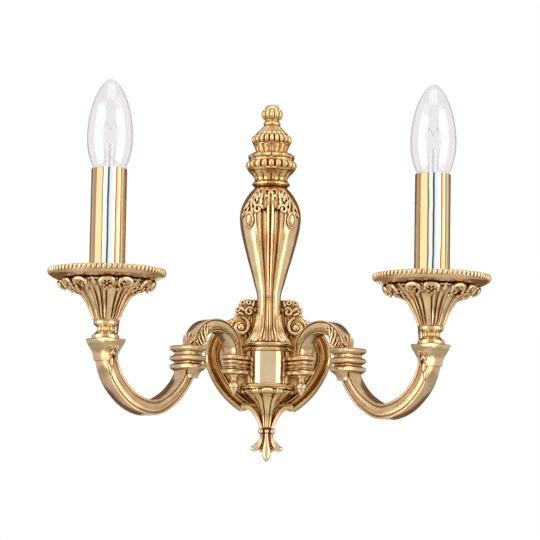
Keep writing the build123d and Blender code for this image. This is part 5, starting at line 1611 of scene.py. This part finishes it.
# ---------------------------------------------------------------- backplate
@dataclass
class Backplate:
    """Dished cartouche with beaded border, cove, oval ridge, volutes, flowers and three-petalled tail."""

    half_width: float = 49.1
    widest_z: float = 5.7
    top_z: float = 40.5
    cusp_x: float = 21.2
    cusp_z: float = -32.6
    field: float = -16.0
    wall: float = 2.2
    tail_tip: float = -72.7
    tail_ring: float = -48.5
    ribbon: tuple[tuple[float, float, float], ...] = (
        (20.2, -30.2, 1.6), (17.0, -29.4, 2.0), (13.6, -30.2, 2.1), (10.6, -32.6, 2.0), (8.2, -36.0, 1.8),
        (6.2, -40.0, 1.6), (4.7, -43.6, 1.4), (4.0, -46.6, 1.3))
    volute_x: float = 21.8
    volute_z: float = 32.6
    section: tuple[tuple[float, float], ...] = (
        (0.0, 0.0), (0.0, -6.0), (0.0, -12.0), (0.0, -16.6), (0.15, -18.0), (0.7, -19.3), (1.6, -20.2),
        (2.6, -20.4), (3.5, -19.9), (4.1, -18.9), (4.6, -17.6), (5.4, -16.7), (6.6, -16.3), (7.8, -16.3),
        (8.6, -16.6), (9.0, -17.4), (9.7, -18.1), (10.6, -18.2), (11.3, -17.6), (11.7, -16.6),
        (12.2, -16.0), (14.0, -15.9))

    def build(self) -> list[bpy.types.Object]:
        """Builds the plate, its tail and its ornament."""
        return [self.dish(), self.tongue(), self.tail(), self.volutes(), self.flowers()]

    def outline(self, inset: float) -> list[tuple[float, float]]:
        """Returns the cartouche's edge, drawn in by an inset, as as many points each time."""
        wide = self.half_width - inset
        top = self.top_z - inset
        low = self.cusp_z + inset * 0.5
        corner = self.cusp_x - inset * 0.85
        right = [(0.0, low + 2.0), (corner * 0.33, low + 2.2)]
        right += arc((corner * 0.66, low + 2.0), (corner, low), 0.6, 3)
        right += arc((corner, low), (wide, self.widest_z), -(self.half_width - self.cusp_x) * 0.155, 16)[1:]
        right += arc((wide, self.widest_z), (self.cusp_x + 2.3 - inset * 0.3, top), -8.6 + inset * 0.12,
                     18)[1:]
        right += [(16.0 - inset * 0.2, top + 0.2), (8.0, top), (0.0, top)]
        return right + [(-x, z) for x, z in reversed(right[1:-1])]

    def dish(self) -> bpy.types.Object:
        """Lofts the border and the dished field, with the shell's thickness and its open back."""
        bench = Bench("plate_dish")
        bench.loft([[(x, y, z) for x, z in self.outline(inset)] for inset, y in self.section], closed=False)
        bpy.ops.mesh.edge_face_add()
        wall = ("SOLIDIFY", {"thickness": self.wall * MM, "offset": -1.0})
        return bench.done(RICH_BRASS, Body.FIXTURE, ["backplate"], 34.0, [wall])

    def tongue(self) -> bpy.types.Object:
        """Lofts the upper field between the volutes, behind the flowers, with its upright mouldings."""
        bench = Bench("plate_tongue")
        right = [(0.0, 18.0), (12.0, 18.0), (14.6, 21.5), (16.0, 26.0), (17.6, 29.0), (22.5, 24.6),
                 (27.4, 26.6), (30.2, 31.4), (29.6, 36.6), (26.4, 40.6), (25.6, 43.6), (25.0, 47.0),
                 (22.6, 51.4), (18.6, 54.0), (12.0, 54.2), (0.0, 54.2)]
        edge = right + [(-x, z) for x, z in reversed(right[1:-1])]
        rings = []
        for inset, y in ((0.0, -14.2), (0.0, -19.4), (0.5, -20.8), (1.2, -21.4), (1.9, -21.2), (2.4, -20.7),
                         (3.0, -20.5)):
            rings.append([(x - math.copysign(min(inset, abs(x)), x) * 0.8, y,
                           z + (inset if z < 30 else -inset) * 0.8) for x, z in edge])
        bench.loft(rings)
        bpy.ops.mesh.select_all(action="SELECT")
        bpy.ops.mesh.normals_make_consistent(inside=False)
        free_hands()
        fold = blob("fold", 0.85, 12.5, 1.5, sides=12)
        places = [at(side * x, -20.5, z,
                     roll=side * lean) for side in (-1,
                                                    1) for x, z, lean in ((13.6, 33.0, -6),
                                                                          (16.0, 34.0, -10))]
        piece = joined([bench.piece, stamped(fold, places, "folds")], "plate_tongue")
        return finished(piece, RICH_BRASS, Body.FIXTURE, crease=36.0)

    def tail_outline(self, inset: float) -> list[tuple[float, float]]:
        """Returns the tail's edge drawn in by an inset."""
        ring, tip = self.tail_ring, self.tail_tip
        right = [(0.0, self.cusp_z + 6.0 - inset)]
        right += [(19.5 - inset, self.cusp_z + 6.0 - inset),
                  (self.cusp_x - inset * 1.3, self.cusp_z + inset * 0.6)]
        right += arc(right[-1], (14.1 - inset * 0.2, self.cusp_z + 2.0 + inset * 1.1), 1.0, 4)[1:]
        right += arc(right[-1], (4.8 - inset * 0.75, ring + 2.5), -1.6, 8)[1:]
        right += [(4.6 - inset * 0.75, ring), (4.8 - inset * 0.75, ring - 2.5)]
        right += arc(right[-1], (12.6 - inset * 1.1, tip + 12.0 + inset * 0.2), -1.8, 8)[1:]
        right += arc(right[-1], (5.0 - inset * 0.3, tip + 8.9 + inset), -1.4, 6)[1:]
        right += arc(right[-1], (0.0, tip + inset * 1.3), -1.2, 6)[1:]
        return right + [(-x, z) for x, z in reversed(right[1:-1])]

    def tail(self) -> bpy.types.Object:
        """Lofts the tail with its raised edge and sets petals, ribbons and the three-bead ring on it."""
        bench = Bench("tail_plate")
        steps = ((0.6, -12.6), (0.0, -13.4), (0.0, -18.6), (0.4, -19.8), (1.2, -20.4), (2.0, -20.1),
                 (2.6, -19.2))
        bench.loft([[(x, y, z) for x, z in self.tail_outline(inset)] for inset, y in steps])
        bpy.ops.mesh.select_all(action="SELECT")
        bpy.ops.mesh.normals_make_consistent(inside=False)
        free_hands()
        parts = [bench.piece]
        bead = blob("tail_bead", 2.2, 2.5, 2.4, sides=14)
        beads = [at(x, -20.4, self.tail_ring) for x in (-4.6, 0.0, 4.6)]
        parts.append(stamped(bead, beads, "tail_beads"))
        middle = ((0.0, -50.4, 1.5), (0.0, -53.0, 1.8), (0.0, -56.5, 2.2), (0.0, -60.0, 2.8),
                  (0.0, -63.5, 3.5), (0.0, -66.5, 3.4), (0.0, -69.0, 2.6), (0.0, -70.8, 1.6),
                  (0.0, -72.0, 0.6))
        parts.append(self.strip("middle_petal", middle, 1, 1.9))
        outer = ((3.3, -50.8, 1.0), (3.7, -53.0, 1.2), (4.6, -55.6, 1.6), (5.8, -58.0, 2.1),
                 (7.2, -60.2, 2.7), (9.0, -61.9, 2.5), (11.0, -62.2, 1.8), (12.7, -61.2, 0.6))
        for side in (-1, 1):
            parts.append(self.strip("side_petal", outer, side, 1.8))
        for side in (-1, 1):
            parts.append(self.strip("ribbon", self.ribbon, side, 1.5))
        piece = joined(parts, "plate_tail")
        return finished(piece, CAST_BRASS, Body.FIXTURE, crease=40.0)

    @staticmethod
    def strip(name: str, spots: Sequence[tuple[float, float, float]], side: int,
              high: float) -> bpy.types.Object:
        """Draws a rounded strip along a line of the plate: a ribbon or a petal.

        Args:
            name: name of the part.
            spots: places along the strip and its half width there.
            side: 1 on the right, -1 mirrored on the left.
            high: how far it stands out.

        Returns:
            The part.
        """
        bench = Bench(name)
        rings = []
        for i, (x, z, half) in enumerate(spots):
            x0, z0, _ = spots[max(0, i - 1)]
            x1, z1, _ = spots[min(len(spots) - 1, i + 1)]
            run = math.hypot(x1 - x0, z1 - z0)
            nx, nz = -(z1 - z0) / run, (x1 - x0) / run
            ring = []
            for k in range(10):
                turn = 2 * math.pi * k / 10
                across, out = half * math.cos(turn), high * min(1.0, half / 1.4) * math.sin(turn)
                ring.append((side * (x + nx * across), -20.2 - out, z + nz * across))
            rings.append(ring)
        bench.loft(rings)
        bpy.ops.mesh.select_all(action="SELECT")
        bpy.ops.mesh.normals_make_consistent(inside=False)
        free_hands()
        return bench.piece

    def volutes(self) -> bpy.types.Object:
        """Rolls the two volutes with their balls."""
        ball = blob("volute_ball", 3.3, 3.3, 3.4, sides=20)
        roll = curl("volute_roll", 7.6, 1.6, 0.98, 1.4, 10)
        parts = [stamped(ball,
                         [at(side * (self.volute_x - 0.6), -20.9, self.volute_z - 0.4) for side in (-1, 1)],
                         "balls")]
        places = [at(side * self.volute_x, -21.0, self.volute_z, roll=-side * 100.0,
                     flip=side < 0) for side in (-1, 1)]
        parts.append(stamped(roll, places, "rolls"))
        piece = joined(parts, "plate_volutes")
        return finished(piece, CAST_BRASS, Body.FIXTURE, crease=50.0)

    def flowers(self) -> bpy.types.Object:
        """Sets a rose, a bud and leaves above each volute."""
        rose = curl("rose", 3.5, 1.25, 1.2, 0.8, 8)
        parts = [stamped(rose,
                         [at(side * 15.0, -21.4, 44.4, roll=side * 30.0,
                             flip=side > 0) for side in (-1, 1)],
                         "roses")]
        bud = curl("bud", 2.2, 0.95, 1.1, 0.6, 8)
        spots = ((20.8, 51.0, -40), (15.2, 51.6, 80), (24.0, 45.6, 10))
        parts.append(stamped(bud,
                             [at(side * x, -21.2, z, roll=side * turn,
                                 flip=side > 0) for side in (-1, 1) for x, z, turn in spots],
                             "buds"))
        leaf = blob("flower_leaf", 1.5, 2.9, 1.5, tip=0.85, sides=10)
        spots = ((11.8, 50.4, -14, 0.95), (20.2, 46.4, 40, 0.9), (21.4, 42.8, 66, 0.9),
                 (10.4, 45.8, -20, 0.8), (24.8, 42.4, 40, 0.7))
        leaves = [at(side * x, -21.0, z, roll=side * roll,
                     size=size * 1.15) for side in (-1, 1) for x, z, roll, size in spots]
        parts.append(stamped(leaf, leaves, "flower_leaves"))
        piece = joined(parts, "plate_flowers")
        return finished(piece, CAST_BRASS, Body.FIXTURE, crease=50.0)


def arc(here: tuple[float, float], there: tuple[float, float], bulge: float,
        count: int) -> list[tuple[float, float]]:
    """Returns points along an arc, both ends among them.

    Args:
        here: start.
        there: end.
        bulge: how far the middle stands to the left of the way.
        count: steps.

    Returns:
        The points.
    """
    dx, dz = there[0] - here[0], there[1] - here[1]
    half = math.hypot(dx, dz) / 2
    radius = (half * half + bulge * bulge) / (2 * abs(bulge))
    sweep = 2 * math.asin(min(1.0, half / radius))
    points = [here]
    for i in range(1, count):
        turn = sweep * (i / count - 0.5)
        along = math.sin(turn) * radius / (2 * half) + 0.5
        off = radius * (math.cos(turn) - math.cos(sweep / 2)) * math.copysign(1, bulge) / (2 * half)
        points.append((here[0] + along * dx - off * dz, here[1] + along * dz + off * dx))
    return points + [there]


# ---------------------------------------------------------------- what stays of the CAD model
def dress_nodes() -> None:
    """Gives every CAD node the finish of its slot."""
    finishes = {Slot.ANTIQUE_BRASS: PLAIN_BRASS, Slot.POLISHED_BRASS: MIRROR_BRASS, Slot.STEEL: ZINC_STEEL,
                Slot.CLEAR_GLASS: LAMP_GLASS, Slot.LAMP_CAP: CAP_METAL, Slot.FILAMENT_WIRE: WIRE_METAL,
                Slot.HOLDER_PLASTIC: DARK_PLASTIC, Slot.TERMINAL_PLASTIC: PALE_PLASTIC,
                Slot.WIRE_INSULATION: SHEATH}
    slots = {part["node"]: Slot(part["material_slot"]) for part in frame["record"]["subparts"]}
    for name, node in frame["nodes"].items():
        PAINT.coat(node, finishes[slots[name]])
        LOG.info("%s: CAD node, %s", name, slots[name].value)


# ---------------------------------------------------------------- studio
@dataclass
class Studio:
    """Pale floor, white background, soft lamps and the camera of the photograph."""

    floor_z: float = -1.3
    camera_place: tuple[float, float, float] = (0.0004, -2.5906, -0.2381)
    pitch: float = 7.0
    roll: float = 1.0
    lens: float = 221.4
    lamps: tuple[tuple[str, tuple[float, float, float], tuple[float, float], float, Colour], ...] = (
        ("left_box", (-1.55, -1.1, 0.2), (1.9, 2.4), 29.0, (1.0, 0.985, 0.96)),
        ("right_box", (1.55, -1.1, 0.2), (1.8, 2.4), 23.5, (1.0, 0.985, 0.96)),
        ("top_box", (0.0, -0.7, 1.7), (1.5, 1.2), 9.0, (1.0, 1.0, 1.0)))
    flag_place: tuple[float, float, float] = (0.66, 1.12, 0.1)
    flag_size: tuple[float, float] = (1.1, 2.6)

    def build(self) -> None:
        """Sets up floor, world, lamps and camera."""
        self.floor()
        self.world()
        for lamp in self.lamps:
            self.lamp(*lamp)
        for side in (-1, 1):
            self.flag(side)
        self.camera()

    def floor(self) -> None:
        """Lays the pale floor far below the sconce."""
        bench = Bench("studio_floor")
        bpy.ops.mesh.primitive_plane_add(size=8.0, location=(0, 0, self.floor_z))
        bpy.ops.mesh.subdivide(number_cuts=3)
        free_hands()
        board = NodeBoard("floor_paint")
        blotches = board.noise(board.place(), 2.0, 2.0)
        tone = board.mix(board.spread(blotches, 0.3, 0.7, 0.0, 1.0), (0.80, 0.80, 0.79), (0.84, 0.84, 0.83))
        board.skin(Base_Color=tone, Roughness=0.6, Normal=board.bumps(blotches, 0.1, 1.0))
        bench.piece.data.materials.append(board.material)

    def flag(self, side: int) -> None:
        """Stands a brown card behind the sconce, which only its polished edges mirror."""
        bench = Bench("flag_right" if side > 0 else "flag_left")
        x, y, z = self.flag_place
        bpy.ops.mesh.primitive_plane_add(size=1.0, location=(side * x, y, z))
        bpy.ops.transform.resize(value=(self.flag_size[0], self.flag_size[1], 1.0),
                                 center_override=(side * x, y, z))
        bpy.ops.transform.rotate(value=-math.pi / 2, orient_axis="X", center_override=(side * x, y, z))
        bpy.ops.transform.rotate(value=side * math.atan2(x, y), orient_axis="Z",
                                 center_override=(side * x, y, z))
        bpy.ops.mesh.subdivide(number_cuts=2)
        free_hands()
        board = NodeBoard("flag_paint")
        blotches = board.noise(board.place(), 3.0, 2.0)
        tone = board.mix(board.spread(blotches, 0.3, 0.7, 0.0, 1.0), (0.16, 0.08, 0.035),
                         (0.22, 0.11, 0.05))
        board.skin(Base_Color=tone, Roughness=0.8, Normal=board.bumps(blotches, 0.1, 1.0))
        bench.piece.data.materials.append(board.material)
        for ray in ("camera", "diffuse", "transmission", "shadow", "volume_scatter"):
            setattr(bench.piece, "visible_" + ray, False)

    def world(self) -> None:
        """Makes the background white for camera, reflections and glass, and soft grey for the rest."""
        world = bpy.data.worlds.new("studio")
        bpy.context.scene.world = world
        world.use_nodes = True
        tree = world.node_tree
        tree.nodes.clear()
        path = tree.nodes.new("ShaderNodeLightPath")
        seen = path.outputs["Is Camera Ray"]
        for name in ("Is Glossy Ray", "Is Transmission Ray"):
            either = tree.nodes.new("ShaderNodeMath")
            either.operation = "MAXIMUM"
            tree.links.new(seen, either.inputs[0])
            tree.links.new(path.outputs[name], either.inputs[1])
            seen = either.outputs[0]
        strength = tree.nodes.new("ShaderNodeMapRange")
        strength.inputs["To Min"].default_value = 0.7
        strength.inputs["To Max"].default_value = 1.0
        tree.links.new(seen, strength.inputs["Value"])
        ground = tree.nodes.new("ShaderNodeBackground")
        ground.inputs["Color"].default_value = (1.0, 1.0, 1.0, 1.0)
        tree.links.new(strength.outputs["Result"], ground.inputs["Strength"])
        tree.links.new(ground.outputs[0], tree.nodes.new("ShaderNodeOutputWorld").inputs["Surface"])

    @staticmethod
    def lamp(name: str, place: tuple[float, float, float], size: tuple[float, float], power: float,
             colour: Colour) -> None:
        """Hangs a soft box that faces the sconce.

        Args:
            name: name of the lamp.
            place: its middle in metres.
            size: width and height in metres.
            power: watts.
            colour: colour of its light.
        """
        data = bpy.data.lights.new(name, "AREA")
        data.shape = "RECTANGLE"
        data.size, data.size_y = size
        data.energy = power
        data.color = colour
        lamp = bpy.data.objects.new(name, data)
        bpy.context.scene.collection.objects.link(lamp)
        lamp.location = place
        lamp.visible_camera = False
        lamp.rotation_euler = (Vector((0, -0.08, 0.06)) - Vector(place)).to_track_quat("-Z", "Y").to_euler()

    def camera(self) -> None:
        """Sets the camera where the photograph was taken from."""
        data = bpy.data.cameras.new("photo_camera")
        data.lens = self.lens
        data.sensor_width = 36.0
        data.clip_end = 100.0
        camera = bpy.data.objects.new("photo_camera", data)
        bpy.context.scene.collection.objects.link(camera)
        camera.location = self.camera_place
        pitch = math.radians(self.pitch)
        ahead = Vector((0, math.cos(pitch), math.sin(pitch)))
        turn = ahead.to_track_quat("-Z", "Y").to_matrix() @ Matrix.Rotation(math.radians(self.roll), 3, "Z")
        camera.rotation_euler = turn.to_euler()
        bpy.context.scene.camera = camera
        bpy.context.scene.view_settings.view_transform = "Standard"


def main() -> None:
    """Builds the sconce and the studio."""
    logging.basicConfig(level=logging.INFO, format="%(name)s: %(message)s")
    dress_nodes()
    makers = [Backplate(), Hub(), Vase(), Crown()]
    for hand in Hand:
        makers += [Arm(hand), Pendant(hand), Husk(hand), Candle(hand)]
    for maker in makers:
        pieces = maker.build()
        LOG.info("%s: %d pieces", type(maker).__name__, len(pieces))
    Studio().build()


if __name__ == "__main__":
    main()
